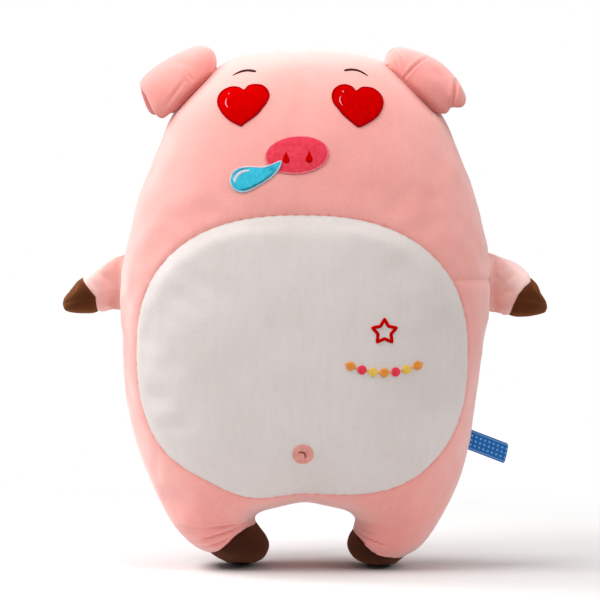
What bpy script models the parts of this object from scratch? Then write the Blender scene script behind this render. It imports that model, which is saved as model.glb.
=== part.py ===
# Stuffed plush pig. A padded body is sewn from front and back panels along a side seam. The arms,
# the folded ears, a side label and a curly tail are sewn on, and the face is embroidered.
# Metres. +Z is up, the face looks along -Y, and the origin is on the floor between the feet.

import math

import bmesh
import bpy
import numpy as np
from mathutils import Matrix, Vector

# Fabric and fibre
FABRIC = 0.0018  # short plush with its backing
CLEARANCE = 0.0003  # between neighbouring pieces
SLACK = 0.0007  # between the fabric and the fibre inside
WELD = 0.00003  # points closer than this are one
PLUMPNESS = 2.3  # exponent of the rounded cross-sections
ELLIPSE = 2.0  # exponent of a plain ellipse

# Body
BODY_HEIGHT = 0.4945
BODY_HALF_WIDTH = 0.1765
FRONT_DEPTH = 0.108  # from the side seam to the fullest point of the belly
BACK_DEPTH = 0.092  # from the side seam to the fullest point of the back
CROTCH_HEIGHT = 0.0624
LEG_GAP_HALF = 0.0475  # half of the widest place between the legs
CROTCH_ROUND = 0.020  # how softly the two legs run together
HIP_BLEND = 0.110  # height above the crotch in which the legs become one body
FOOT_LEAN = 0.006  # at the floor both feet stand this far towards +X

# Half-width of the body, and the height it is at
OUTLINE_SHARES = (
    (0.0, 1.0), (0.255, 0.994), (0.430, 0.976), (0.584, 0.936), (0.745, 0.870),
    (0.876, 0.761), (0.955, 0.667), (1.0, 0.550), (0.985, 0.435), (0.935, 0.295),
    (0.850, 0.178), (0.742, 0.093), (0.629, 0.040), (0.530, 0.015), (0.465, 0.0),
)
# Depth of the body, and the height it is at
DEPTH_SHARES = (
    (0.0, 1.0), (0.20, 0.994), (0.37, 0.979), (0.56, 0.946), (0.71, 0.890),
    (0.82, 0.810), (0.91, 0.700), (0.975, 0.590), (1.0, 0.475), (0.975, 0.365),
    (0.89, 0.263), (0.745, 0.182), (0.60, 0.126), (0.50, 0.081), (0.43, 0.040),
    (0.36, 0.015), (0.27, 0.0),
)
# Half of the gap between the legs, and its share of the crotch height
INSEAM_SHARES = (
    (0.0, 1.0), (0.25, 0.980), (0.48, 0.938), (0.65, 0.889), (0.80, 0.833),
    (0.95, 0.770), (1.0, 0.700), (0.93, 0.580), (0.83, 0.460), (0.79, 0.320),
    (0.86, 0.170), (0.99, 0.060), (1.18, 0.0),
)

# Seams of the body
SIDE_SEAM_SHARE = 0.550  # height of the level seams from the belly panel to the arms
BELLY_HALF_WIDTH = 0.154
BELLY_TOP_SHARE = 0.6755
BELLY_STRIP = 0.0066  # what is left of the lower front panels between the crotch and the belly
BELLY_SQUARENESS = 2.45
LEG_TOP_SHARE = 0.800  # share of the crotch height where the fibre of the legs begins
SOLE_SHARE = 0.200  # share of the crotch height below which the feet round off
# Hoof seams: heights at the inside and the outside of the leg as shares of the crotch height, and
# the place of the outside as a share of the body's half-width
LEFT_HOOF_SHARES = (0.641, 0.184, 0.499)
RIGHT_HOOF_SHARES = (0.508, 0.123, 0.530)

# Arms
ARM_LOW_SHARE = 0.4915  # height of the root's lower end on the body
ARM_ROOT_HEIGHT = 0.057
ARM_REACH = 0.056
ARM_HALF_DEPTH = 0.021
ARM_BEAD = 0.0018  # radius of the sewn edge, which the arm turns about
# Places along the arm: share of the reach, upper and lower edge as shares of the root's height,
# and share of the half depth
ARM_SHARES = (
    (0.0, 1.0, 0.0, 0.0), (0.010, 0.995, 0.0, 0.062), (0.032, 0.985, 0.0, 0.086),
    (0.075, 0.960, -0.005, 0.130), (0.17, 0.915, -0.015, 0.360), (0.30, 0.846, -0.020, 0.680),
    (0.47, 0.740, -0.020, 0.940), (0.64, 0.620, -0.020, 1.0), (0.79, 0.490, -0.005, 0.890),
    (0.90, 0.355, 0.025, 0.660), (0.97, 0.240, 0.080, 0.360), (1.0, 0.160, 0.160, 0.0),
)
ARM_HOLLOW_SHARE = 0.12  # where the two covers part and the filling begins
ARM_TIP_SPACE_SHARE = 0.03  # least space before the hollow's end
ARM_SEAM_SHARE = 0.400  # lengthwise seam at the root, as a share of the root's height
ARM_TIP_SEAM_SHARE = 0.160
# Seam of the arm's hoof, from above to below: shares of the reach and of the root's height
ARM_HOOF_SHARES = ((0.640, 0.590), (0.440, 0.290), (0.390, 0.0))

# Ears
EAR_ROOT_SHARES = (0.964, 0.880)  # heights of the root's two ends on the head
EAR_WADDING = 0.0020
EAR_FOLD_RADIUS = 0.0062
EAR_FOLD_HIGH = (0.0065, 0.0215)  # from the root's upper end to the fold, outwards and up
EAR_FOLD_LOW = (0.0300, 0.0270)  # from the root's lower end to the fold
EAR_EDGE_HIGH = (0.0015, 0.0015)  # from the root's upper end to the flap's free edge
EAR_EDGE_LOW = (0.0080, -0.0010)  # from the root's lower end to the flap's tip
EAR_LIFT = 0.0040  # the middle of the flap stands out this far
EAR_LIFT_SHARES = (0.15, 0.85)  # parts of a half wave that the lift follows down the flap

# Face: the places are shares of the body's half-width and height
EYE_LEFT_SHARES = (-0.3235, 0.8840)
EYE_RIGHT_SHARES = (0.2830, 0.8830)
EYE_WIDTH = 0.0485
EYE_HEIGHT = 0.0405
EYE_TILT = math.radians(5)
# One half of a heart from the notch to the tip: shares of half the width and of the height
HEART_SHARES = (
    (0.0, 0.335), (0.12, 0.445), (0.34, 0.500), (0.60, 0.490), (0.84, 0.395), (0.985, 0.225),
    (0.97, 0.030), (0.76, -0.190), (0.42, -0.395), (0.15, -0.480), (0.0, -0.500),
)
BROW_LEFT_SHARES = (-0.3200, 0.9475)
BROW_RIGHT_SHARES = (0.2690, 0.9490)
BROW_LENGTH = 0.0215
BROW_RISE = 0.0034
BROW_THICKNESS = 0.0022
BROW_PEAK_SHARE = 0.60  # where the stroke is highest, from its outer end
BROW_END_SHARE = 0.35  # how thin the stroke starts
BROW_SWELL_SHARE = 0.85  # where it has grown to its full thickness
SNOUT_SHARES = (-0.0414, 0.7867)
SNOUT_WIDTH = 0.0600
SNOUT_HEIGHT = 0.0350
NOSTRIL_SPACING = 0.0215
NOSTRIL_DROP = 0.0020  # below the middle of the snout
NOSTRIL_WIDTH = 0.0064
NOSTRIL_HEIGHT = 0.0112
DROP_SHARES = (-0.3173, 0.7402)
DROP_RADIUS = 0.0122
DROP_LENGTH = 0.0380  # from the middle of its round end to its tip
DROP_SLOPE = math.radians(23)
POINT_POWER = 3  # how sharply a drop runs to its point
EMBROIDERY = 0.0012  # how far the stitches stand up

# Belly: the places are shares of the body's half-width and height
NAVEL_SHARES = (-0.0085, 0.2320)
NAVEL_RADIUS = 0.0098
STAR_SHARES = (0.4080, 0.4580)
STAR_RADIUS = 0.0130
STAR_INNER_SHARE = 0.52
STAR_LINE = 0.0022
STAR_POINT_COUNT = 5
GARLAND_SHARES = (0.4080, 0.4000)
GARLAND_WIDTH = 0.0800
GARLAND_SAG = 0.0085
GARLAND_THREAD = 0.0016
GARLAND_BEAD_COUNT = 7
GARLAND_BEAD_RADIUS = 0.0042

# Side label
LABEL_SHARE = 0.2453  # height of the middle of its root
LABEL_LENGTH = 0.0350
LABEL_WIDTH = 0.0188
LABEL_THICKNESS = 0.0010
LABEL_SLOPE = math.radians(-22)

# Tail
TAIL_SHARE = 0.2500  # height of its root
TAIL_RADIUS = 0.0043
TAIL_ROOT_SHARE = 0.35  # how thin its sewn end is
TAIL_STEM = 0.0140
TAIL_CURL_RADIUS = 0.0125
TAIL_PITCH = 0.0140
TAIL_TURNS = 1.1
TAIL_GAP = 0.0008  # from the back to the sewn end

# How finely the surfaces are drawn
BODY_COLUMN_COUNT = 8
TORSO_ROW_COUNT = 16
LEG_ROW_COUNT = 7
SOLE_ROW_COUNT = 2
ARM_SIDE_COUNT = 12
EAR_COLUMN_COUNT = 5
EAR_UP_COUNT = 3  # from the root to the fold
EAR_ROUND_COUNT = 4  # round the fold
EAR_DOWN_COUNT = 3  # from the fold to the flap's edge
TAIL_STEP_COUNT = 12
CURVE_STEP_COUNT = 12
OVERRUN = 0.300  # how far every cutter reaches past what it cuts

COLOURS = {
    "pink_plush": (0.86, 0.42, 0.39, 1.0),
    "cream_plush": (0.78, 0.70, 0.64, 1.0),
    "brown_plush": (0.085, 0.028, 0.012, 1.0),
    "fibre": (0.90, 0.90, 0.88, 1.0),
    "red_thread": (0.70, 0.004, 0.006, 1.0),
    "rose_thread": (0.82, 0.050, 0.085, 1.0),
    "blue_thread": (0.050, 0.50, 0.66, 1.0),
    "dark_thread": (0.030, 0.020, 0.018, 1.0),
    "orange_thread": (0.62, 0.18, 0.05, 1.0),
    "label_satin": (0.010, 0.160, 0.470, 1.0),
}


# Removes what a new file holds
def clear_scene():
    for old in list(bpy.data.objects):
        bpy.data.objects.remove(old, do_unlink=True)


def new_collection(name):
    made = bpy.data.collections.new(name)
    bpy.context.scene.collection.children.link(made)
    return made


clear_scene()
PIG = new_collection("plush_pig")
CUTTERS = new_collection("cutters")


def thread_or_cloth(name):
    made = bpy.data.materials.get(name)
    if made is None:
        made = bpy.data.materials.new(name)
        made.use_nodes = True
        shader = made.node_tree.nodes["Principled BSDF"]
        shader.inputs["Base Color"].default_value = COLOURS[name]
        shader.inputs["Roughness"].default_value = 0.9
        shader.inputs["Metallic"].default_value = 0.0
        made.diffuse_color = COLOURS[name]
    return made


# A piece of the toy, with its Boolean steps left on it
def add_piece(name, mesh, colour, *steps):
    mesh.name = name
    mesh.materials.clear()
    mesh.materials.append(thread_or_cloth(colour))
    made = bpy.data.objects.new(name, mesh)
    PIG.objects.link(made)
    for operation, cutter in steps:
        boolean = made.modifiers.new(f"{operation.lower()} {cutter.name}", "BOOLEAN")
        boolean.operation = operation
        boolean.solver = "EXACT"
        boolean.object = cutter
    return made


def add_cutter(name, mesh):
    made = bpy.data.objects.new(name, mesh)
    made.hide_render = True
    made.display_type = "WIRE"
    CUTTERS.objects.link(made)
    return made


# A box between two corners
def box_cutter(name, low, high):
    low, high = Vector(low), Vector(high)
    box = bmesh.new()
    bmesh.ops.create_cube(box, size=1.0)
    size = Matrix.Diagonal((high - low).to_4d())
    size[3][3] = 1.0
    box.transform(Matrix.Translation((low + high) / 2) @ size)
    return add_cutter(name, mesh_of(name, box))


# A flat outline in (x, z) drawn out along Y between two depths
def prism_mesh(name, outlines, near, far):
    curve = bpy.data.curves.new(name, "CURVE")
    curve.dimensions = "2D"
    curve.fill_mode = "BOTH"
    curve.extrude = (far - near) / 2
    for outline in outlines:
        spline = curve.splines.new("POLY")
        spline.points.add(len(outline) - 1)
        for point, (x, z) in zip(spline.points, outline):
            point.co = (x, z, 0.0, 1.0)
        spline.use_cyclic_u = True
    upright = Matrix.Translation((0, (near + far) / 2, 0)) @ Matrix.Rotation(math.pi / 2, 4, "X")
    return mesh_from_curve(name, curve, upright)


def prism_cutter(name, outlines, near=-OVERRUN, far=OVERRUN):
    return add_cutter(name, prism_mesh(name, outlines, near, far))


# The closed mesh of a curve, moved to its place
def mesh_from_curve(name, curve, place):
    drawn = bpy.data.objects.new(name, curve)
    PIG.objects.link(drawn)
    bpy.context.view_layer.update()
    graph = bpy.context.evaluated_depsgraph_get()
    mesh = bpy.data.meshes.new_from_object(drawn.evaluated_get(graph))
    bpy.data.objects.remove(drawn, do_unlink=True)
    bpy.data.curves.remove(curve)
    solid = bmesh.new()
    solid.from_mesh(mesh)
    bmesh.ops.remove_doubles(solid, verts=solid.verts, dist=WELD)
    solid.transform(place)
    bmesh.ops.recalc_face_normals(solid, faces=solid.faces)
    bpy.data.meshes.remove(mesh)
    return mesh_of(name, solid)


def mesh_of(name, solid):
    mesh = bpy.data.meshes.new(name)
    solid.to_mesh(mesh)
    solid.free()
    return mesh


# A smooth line through rows of numbers (Catmull-Rom), as denser rows
def smooth_line(rows):
    points = np.array(rows, float)
    before = np.vstack([2 * points[0] - points[1], points[:-2]])
    after = np.vstack([points[2:], 2 * points[-1] - points[-2]])
    t = np.linspace(0.0, 1.0, CURVE_STEP_COUNT, endpoint=False)[:, None]
    runs = []
    for p0, p1, p2, p3 in zip(before, points[:-1], points[1:], after):
        bend = (2 * p0 - 5 * p1 + 4 * p2 - p3) * t**2 + (3 * p1 - p0 - 3 * p2 + p3) * t**3
        runs.append(p1 + ((p2 - p0) * t + bend) / 2)
    return np.vstack(runs + [points[-1:]])


OUTLINE = smooth_line(OUTLINE_SHARES) * (BODY_HALF_WIDTH, BODY_HEIGHT)
DEPTHS = smooth_line(DEPTH_SHARES) * (1.0, BODY_HEIGHT)
INSEAM = smooth_line(INSEAM_SHARES) * (LEG_GAP_HALF, CROTCH_HEIGHT)


# The first column of a line at a height, where the second column falls along the line
def look_up(line, z):
    return float(np.interp(z, line[::-1, 1], line[::-1, 0]))


def outline_x(z):
    return look_up(OUTLINE, z)


# 0 at the crotch and below, rising to 1 where the hips end
def hip_share(z):
    return math.sin(min(max((z - CROTCH_HEIGHT) / HIP_BLEND, 0.0), 1.0) * math.pi / 2)


def foot_lean(z):
    return FOOT_LEAN * max(1.0 - z / CROTCH_HEIGHT, 0.0) ** 2


# Distance of the skin from the seam plane as a share of the greatest depth. Each leg is a
# superellipse from its inside line to the outline. Above the crotch the inside line crosses over
# to the far outline, so that the two sections grow into one.
def skin_share(x, z):
    hip = hip_share(z)
    softness = CROTCH_ROUND * (1.0 - hip)
    gap = look_up(INSEAM, z) if z < CROTCH_HEIGHT else 0.0
    across = math.hypot(x - foot_lean(z), softness)
    outer = math.hypot(outline_x(z), softness)
    inner = math.hypot(gap, softness)
    inner -= (inner + outer) * hip
    half = max((outer - inner) / 2, CLEARANCE)
    off = min(abs(across - (outer + inner) / 2) / half, 1.0)
    return look_up(DEPTHS, z) * (1.0 - off**PLUMPNESS) ** (1 / PLUMPNESS)


# Heights from the crown to the crotch and on to the floor, closer together at the ends
def row_heights():
    torso = [(1 + math.cos(math.pi * row / TORSO_ROW_COUNT)) / 2 for row in range(TORSO_ROW_COUNT + 1)]
    legs = [(1 + math.cos(math.pi * row / LEG_ROW_COUNT)) / 2 for row in range(1, LEG_ROW_COUNT + 1)]
    torso = [CROTCH_HEIGHT + share * (BODY_HEIGHT - CROTCH_HEIGHT) for share in torso]
    return torso + [share * CROTCH_HEIGHT for share in legs]


# A point of one half of the front or back: u runs inwards from the side seam, and row runs down
def skin_point(hand, depth, u, row, heights):
    z = heights[min(row, len(heights) - 1)]
    under = max(0, row - len(heights) + 1) / SOLE_ROW_COUNT
    hip = hip_share(z)
    outer = outline_x(z)
    inner = look_up(INSEAM, z) if z < CROTCH_HEIGHT else 0.0
    torso_way = 1 - math.cos(math.pi * u / 2) ** (2 / PLUMPNESS)
    even = max(1 - z / (SOLE_SHARE * CROTCH_HEIGHT), 0.0)
    leg_way = even * u + (1 - even) * (1 - math.cos(math.pi * u)) / 2
    way = hip * torso_way + (1 - hip) * leg_way
    x = hand * (outer + (inner - outer) * way) + foot_lean(z)
    return Vector((x, depth * skin_share(x, z) * (1 - under), z))


# The whole outer surface of the body as one closed mesh of triangles
def body_surface():
    heights = row_heights()
    rows = len(heights) - 1 + SOLE_ROW_COUNT
    surface = bmesh.new()
    for depth in (-FRONT_DEPTH, BACK_DEPTH):
        for hand in (-1, 1):
            grid = bmesh.ops.create_grid(surface, x_segments=BODY_COLUMN_COUNT, y_segments=rows, size=0.5)
            for vert in grid["verts"]:
                u, row = vert.co.x + 0.5, round((vert.co.y + 0.5) * rows)
                vert.co = skin_point(hand, depth, u, row, heights)
    return closed(surface)


# Welds a closed surface, splits its faces into triangles and turns them outwards
def closed(surface):
    bmesh.ops.remove_doubles(surface, verts=surface.verts, dist=WELD)
    bmesh.ops.dissolve_degenerate(surface, edges=surface.edges, dist=WELD)
    bmesh.ops.triangulate(surface, faces=surface.faces)
    bmesh.ops.recalc_face_normals(surface, faces=surface.faces)
    return surface


# Adds a copy of a surface, moved out along its normals, to a solid. A wall's inner side is turned.
def add_offset(solid, surface, distance, turned=False):
    surface.normal_update()
    moved = surface.copy()
    for vert, source in zip(moved.verts, surface.verts):
        vert.co = source.co + source.normal * distance
    if turned:
        bmesh.ops.reverse_faces(moved, faces=moved.faces)
    joined = bpy.data.meshes.new("offset")
    moved.to_mesh(joined)
    moved.free()
    solid.from_mesh(joined)
    bpy.data.meshes.remove(joined)


# A wall between two distances from a surface
def wall_mesh(surface, outer, inner):
    wall = bmesh.new()
    add_offset(wall, surface, outer)
    add_offset(wall, surface, inner, turned=True)
    return mesh_of("wall", wall)


# A solid whose skin lies at one distance from a surface
def filled_mesh(surface, distance):
    filled = bmesh.new()
    add_offset(filled, surface, distance)
    return mesh_of("filled", filled)


# A place on the front, from shares of the body's half-width and height
def place(shares):
    return shares[0] * BODY_HALF_WIDTH, shares[1] * BODY_HEIGHT


def superellipse(centre, half_width, half_height, power, grow=0.0):
    points = []
    for step in range(4 * CURVE_STEP_COUNT):
        angle = math.pi * step / (2 * CURVE_STEP_COUNT)
        c, s = math.cos(angle), math.sin(angle)
        across = math.copysign(abs(c) ** (2 / power), c) * (half_width + grow)
        up = math.copysign(abs(s) ** (2 / power), s) * (half_height + grow)
        points.append((centre[0] + across, centre[1] + up))
    return points


# Turns and moves an outline that is drawn about (0, 0)
def laid(points, centre, angle=0.0):
    c, s = math.cos(angle), math.sin(angle)
    return [(centre[0] + x * c - z * s, centre[1] + x * s + z * c) for x, z in points]


# The area below a foot's hoof seam. The seam is lifted to leave room for the piece above it.
def hoof_outline(hand, shares, lift):
    inner_share, outer_share, place_share = shares
    z0, z1 = inner_share * CROTCH_HEIGHT + lift, outer_share * CROTCH_HEIGHT + lift
    slope = (z1 - z0) / (place_share * BODY_HALF_WIDTH - LEG_GAP_HALF)
    inner, outer = LEG_GAP_HALF / 2, LEG_GAP_HALF + OVERRUN
    corners = [(inner, z0 + slope * (inner - LEG_GAP_HALF)), (outer, z0 + slope * OVERRUN),
               (outer, -OVERRUN), (inner, -OVERRUN)]
    return [(hand * x, z) for x, z in corners]


# The fabric and the filling of the body
def make_body(surface):
    half = CLEARANCE / 2
    seam = SIDE_SEAM_SHARE * BODY_HEIGHT
    top, bottom = BELLY_TOP_SHARE * BODY_HEIGHT, CROTCH_HEIGHT + BELLY_STRIP
    belly = ((0.0, (top + bottom) / 2), BELLY_HALF_WIDTH, (top - bottom) / 2, BELLY_SQUARENESS)
    inside = prism_cutter("belly_inside", [superellipse(*belly)], far=-half)
    outside = prism_cutter("belly_outside", [superellipse(*belly, grow=CLEARANCE)], far=0.0)
    wall = wall_mesh(surface, 0.0, -FABRIC)
    add_piece("belly_panel", wall.copy(), "cream_plush", ("INTERSECT", inside))

    above = box_cutter("front_above", (-OVERRUN, -OVERRUN, seam + half), (OVERRUN, -half, 2 * OVERRUN))
    add_piece("face_panel", wall.copy(), "pink_plush", ("INTERSECT", above), ("DIFFERENCE", outside))

    for side, hand, shares in (("left", -1, LEFT_HOOF_SHARES), ("right", 1, RIGHT_HOOF_SHARES)):
        near, far = sorted((hand * half, hand * OVERRUN))
        room = prism_cutter(f"hoof_room_{side}", [hoof_outline(hand, shares, CLEARANCE)])
        low_front = box_cutter(f"front_below_{side}", (near, -OVERRUN, -OVERRUN), (far, -half, seam - half))
        back = box_cutter(f"back_{side}", (near, half, -OVERRUN), (far, OVERRUN, 2 * OVERRUN))
        add_piece(f"lower_front_{side}", wall.copy(), "pink_plush",
                  ("INTERSECT", low_front), ("DIFFERENCE", outside), ("DIFFERENCE", room))
        add_piece(f"back_panel_{side}", wall.copy(), "pink_plush",
                  ("INTERSECT", back), ("DIFFERENCE", room))
        for facing, start, end in (("front", -OVERRUN, -half), ("back", half, OVERRUN)):
            outline = hoof_outline(hand, shares, 0.0)
            hoof = prism_cutter(f"hoof_{facing}_{side}", [outline], start, end)
            add_piece(f"foot_hoof_{facing}_{side}", wall.copy(), "brown_plush",
                      ("INTERSECT", hoof), ("DIFFERENCE", outside))

    fibre = filled_mesh(surface, -FABRIC - SLACK)
    split = LEG_TOP_SHARE * CROTCH_HEIGHT
    trunk = box_cutter("trunk", (-OVERRUN, -OVERRUN, split + half), (OVERRUN, OVERRUN, 2 * OVERRUN))
    add_piece("torso_stuffing", fibre.copy(), "fibre", ("INTERSECT", trunk))
    for side, hand in (("left", -1), ("right", 1)):
        near, far = sorted((0.0, hand * OVERRUN))
        leg = box_cutter(f"leg_{side}", (near, -OVERRUN, -OVERRUN), (far, OVERRUN, split - half))
        add_piece(f"leg_stuffing_{side}", fibre.copy(), "fibre", ("INTERSECT", leg))


# Layers of stitching: the first lies on the fabric, and the second on the first
def stitch_layer(surface, level):
    start = CLEARANCE + level * (EMBROIDERY + CLEARANCE)
    return wall_mesh(surface, start + EMBROIDERY, start)


def stitch(name, layer, colour, outline, *room):
    cutter = prism_cutter(f"{name}_outline", [outline], far=0.0)
    rooms = [("DIFFERENCE", prism_cutter(f"{name}_room", [hole], far=0.0)) for hole in room]
    return add_piece(name, layer.copy(), colour, ("INTERSECT", cutter), *rooms)


def heart(width, height):
    half = [(x * width / 2, z * height) for x, z in HEART_SHARES]
    return half + [(-x, z) for x, z in half[-2:0:-1]]


# An arched stroke that runs thin to thick from its outer end to its inner end
def brow(hand):
    upper, lower = [], []
    for step in range(CURVE_STEP_COUNT + 1):
        t = step / CURVE_STEP_COUNT
        x = hand * (t - 0.5) * BROW_LENGTH
        middle = BROW_RISE * (1 - (2 * (t - BROW_PEAK_SHARE)) ** 2)
        swell = math.sin(math.pi * min(t + 1 - BROW_SWELL_SHARE, 1.0) / 2)
        half = BROW_THICKNESS / 2 * (BROW_END_SHARE + (1 - BROW_END_SHARE) * swell)
        upper.append((x, middle + half))
        lower.append((x, middle - half))
    return upper + lower[::-1]


# A round end at (0, 0) with a point on +X
def teardrop(radius, length):
    points = []
    for step in range(2 * CURVE_STEP_COUNT):
        angle = math.pi * (step / CURVE_STEP_COUNT - 1)
        c, s = math.cos(angle), math.sin(angle)
        pull = ((1 + c) / 2) ** POINT_POWER
        points.append((radius * c + (length - radius) * pull, radius * s * (1 - pull)))
    return points


def make_face(surface):
    first, second = stitch_layer(surface, 0), stitch_layer(surface, 1)
    for side, hand, eye, brow_place in (("left", -1, EYE_LEFT_SHARES, BROW_LEFT_SHARES),
                                        ("right", 1, EYE_RIGHT_SHARES, BROW_RIGHT_SHARES)):
        outline = heart(EYE_WIDTH, EYE_HEIGHT)
        stitch(f"eye_{side}", first, "red_thread", laid(outline, place(eye), -hand * EYE_TILT))
        stitch(f"eyebrow_{side}", first, "dark_thread", laid(brow(-hand), place(brow_place)))
    drop = laid(teardrop(DROP_RADIUS, DROP_LENGTH), place(DROP_SHARES), DROP_SLOPE)
    drop_room = laid(teardrop(DROP_RADIUS + CLEARANCE, DROP_LENGTH + 4 * CLEARANCE),
                     place(DROP_SHARES), DROP_SLOPE)
    stitch("drop", first, "blue_thread", drop)
    snout = place(SNOUT_SHARES)
    oval = superellipse(snout, SNOUT_WIDTH / 2, SNOUT_HEIGHT / 2, ELLIPSE)
    stitch("snout", first, "rose_thread", oval, drop_room)
    length = NOSTRIL_HEIGHT - NOSTRIL_WIDTH / 2
    for side, hand in (("left", -1), ("right", 1)):
        middle = (snout[0] + hand * NOSTRIL_SPACING / 2, snout[1] - NOSTRIL_DROP - NOSTRIL_WIDTH / 2)
        stitch(f"nostril_{side}", second, "red_thread",
               laid(teardrop(NOSTRIL_WIDTH / 2, length), middle, math.pi / 2))


def star(radius):
    points = []
    for step in range(2 * STAR_POINT_COUNT):
        angle = math.pi * (step / STAR_POINT_COUNT + 0.5)
        reach = radius if step % 2 == 0 else radius * STAR_INNER_SHARE
        points.append((reach * math.cos(angle), reach * math.sin(angle)))
    return points


# A sagging thread that carries round beads, drawn as one outline from above and below
def garland():
    steps = 4 * GARLAND_BEAD_COUNT * CURVE_STEP_COUNT // 3
    upper, lower = [], []
    for step in range(steps + 1):
        t = step / steps
        x = (t - 0.5) * (GARLAND_WIDTH - 2 * GARLAND_BEAD_RADIUS)
        middle = -GARLAND_SAG * (1 - (2 * t - 1) ** 2)
        spacing = (GARLAND_WIDTH - 2 * GARLAND_BEAD_RADIUS) / GARLAND_BEAD_COUNT
        from_bead = abs(math.remainder(x + spacing * (GARLAND_BEAD_COUNT % 2 - 1) / 2, spacing))
        bead = math.sqrt(max(GARLAND_BEAD_RADIUS**2 - from_bead**2, 0.0))
        half = max(bead, GARLAND_THREAD / 2)
        upper.append((x, middle + half))
        lower.append((x, middle - half))
    return upper + lower[::-1]


def make_belly_stitching(surface):
    layer = stitch_layer(surface, 0)
    stitch("navel", layer, "rose_thread",
           superellipse(place(NAVEL_SHARES), NAVEL_RADIUS, NAVEL_RADIUS, ELLIPSE))
    stitch("garland", layer, "orange_thread", laid(garland(), place(GARLAND_SHARES)))
    centre = place(STAR_SHARES)
    stitch("star", layer, "red_thread", laid(star(STAR_RADIUS), centre),
           laid(star(STAR_RADIUS - 2 * STAR_LINE), centre))


# An empty on a joint's axis, which carries the pieces that turn about it
def joint_empty(name, location):
    made = bpy.data.objects.new(name, None)
    made.location = location
    PIG.objects.link(made)
    bpy.context.view_layer.update()
    return made


def carry(empty, pieces):
    for piece in pieces:
        piece.parent = empty
        piece.matrix_parent_inverse = empty.matrix_world.inverted()


# Edges and depth of an arm at a share of its reach
ARM_LINE = smooth_line(ARM_SHARES)


def arm_section(share):
    upper, lower, depth = [float(np.interp(share, ARM_LINE[:, 0], ARM_LINE[:, k])) for k in (1, 2, 3)]
    low = ARM_LOW_SHARE * BODY_HEIGHT
    return low + upper * ARM_ROOT_HEIGHT, low + lower * ARM_ROOT_HEIGHT, depth * ARM_HALF_DEPTH


# A closed arm, drawn in by an inset on all sides. A hollow begins where the covers part.
def arm_mesh(hand, inset):
    shares = [row[0] for row in ARM_SHARES]
    if inset > 0:
        end = 1 - inset / ARM_REACH
        inside = [s for s in shares if ARM_HOLLOW_SHARE < s < end - ARM_TIP_SPACE_SHARE]
        shares = [ARM_HOLLOW_SHARE] + inside + [end]
    solid = bmesh.new()
    grid = bmesh.ops.create_grid(solid, x_segments=ARM_SIDE_COUNT, y_segments=len(shares) - 1, size=0.5)
    for vert in grid["verts"]:
        share = shares[round((vert.co.y + 0.5) * (len(shares) - 1))]
        angle = 2 * math.pi * (vert.co.x + 0.5)
        upper, lower, depth = arm_section(share)
        ends = inset > 0 and share in (shares[0], shares[-1])
        half = 0.0 if ends else max((upper - lower) / 2 - inset, 0.0)
        depth = 0.0 if ends else max(depth - inset, 0.0)
        c, s = math.cos(angle), math.sin(angle)
        z = (upper + lower) / 2 + half * math.copysign(abs(c) ** (2 / PLUMPNESS), c)
        x = outline_x(z) + CLEARANCE + share * ARM_REACH
        vert.co = Vector((hand * x, depth * math.copysign(abs(s) ** (2 / PLUMPNESS), s), z))
    return closed(solid)


# Outlines in (x, z) of an arm's four covers, each kept half a clearance from its seams
def arm_outlines(hand):
    low = ARM_LOW_SHARE * BODY_HEIGHT
    root = outline_x(low) + CLEARANCE
    half = CLEARANCE / 2

    def at(reach_share, height_share):
        return root + reach_share * ARM_REACH, low + height_share * ARM_ROOT_HEIGHT

    start, tip = at(-1.0, 2 * ARM_SEAM_SHARE - ARM_TIP_SEAM_SHARE), at(2.0, ARM_TIP_SEAM_SHARE)
    top, middle, bottom = [at(*shares) for shares in ARM_HOOF_SHARES]
    above, below = top[1] + OVERRUN, bottom[1] - OVERRUN
    outlines = {
        "top": (-half, half, [start, middle, top, (top[0], above), (start[0], above)]),
        "bottom": (-half, -half, [start, middle, bottom, (bottom[0], below), (start[0], below)]),
        "hoof_top": (half, half, [middle, tip, (tip[0], above), (top[0], above), top]),
        "hoof_bottom": (half, -half, [middle, tip, (tip[0], below), (bottom[0], below), bottom]),
    }
    return {name: [(hand * (x + dx), z + dz) for x, z in points]
            for name, (dx, dz, points) in outlines.items()}


def make_arms():
    low = ARM_LOW_SHARE * BODY_HEIGHT
    middle = low + ARM_ROOT_HEIGHT / 2
    for side, hand in (("left", -1), ("right", 1)):
        outer = arm_mesh(hand, 0.0)
        hollow = add_cutter(f"arm_hollow_{side}", mesh_of("hollow", arm_mesh(hand, FABRIC)))
        cover = mesh_of("cover", outer)
        pieces = [add_piece(f"arm_stuffing_{side}", mesh_of("fibre", arm_mesh(hand, FABRIC + SLACK)),
                            "fibre")]
        for name, outline in arm_outlines(hand).items():
            colour = "brown_plush" if "hoof" in name else "pink_plush"
            cutter = prism_cutter(f"arm_{name}_outline_{side}", [outline])
            pieces.append(add_piece(f"arm_{name}_{side}", cover.copy(), colour,
                                    ("DIFFERENCE", hollow), ("INTERSECT", cutter)))
        axis_x = outline_x(middle) + CLEARANCE + ARM_BEAD
        carry(joint_empty(f"arm_{side}_axis", (hand * axis_x, 0, middle)), pieces)


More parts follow.
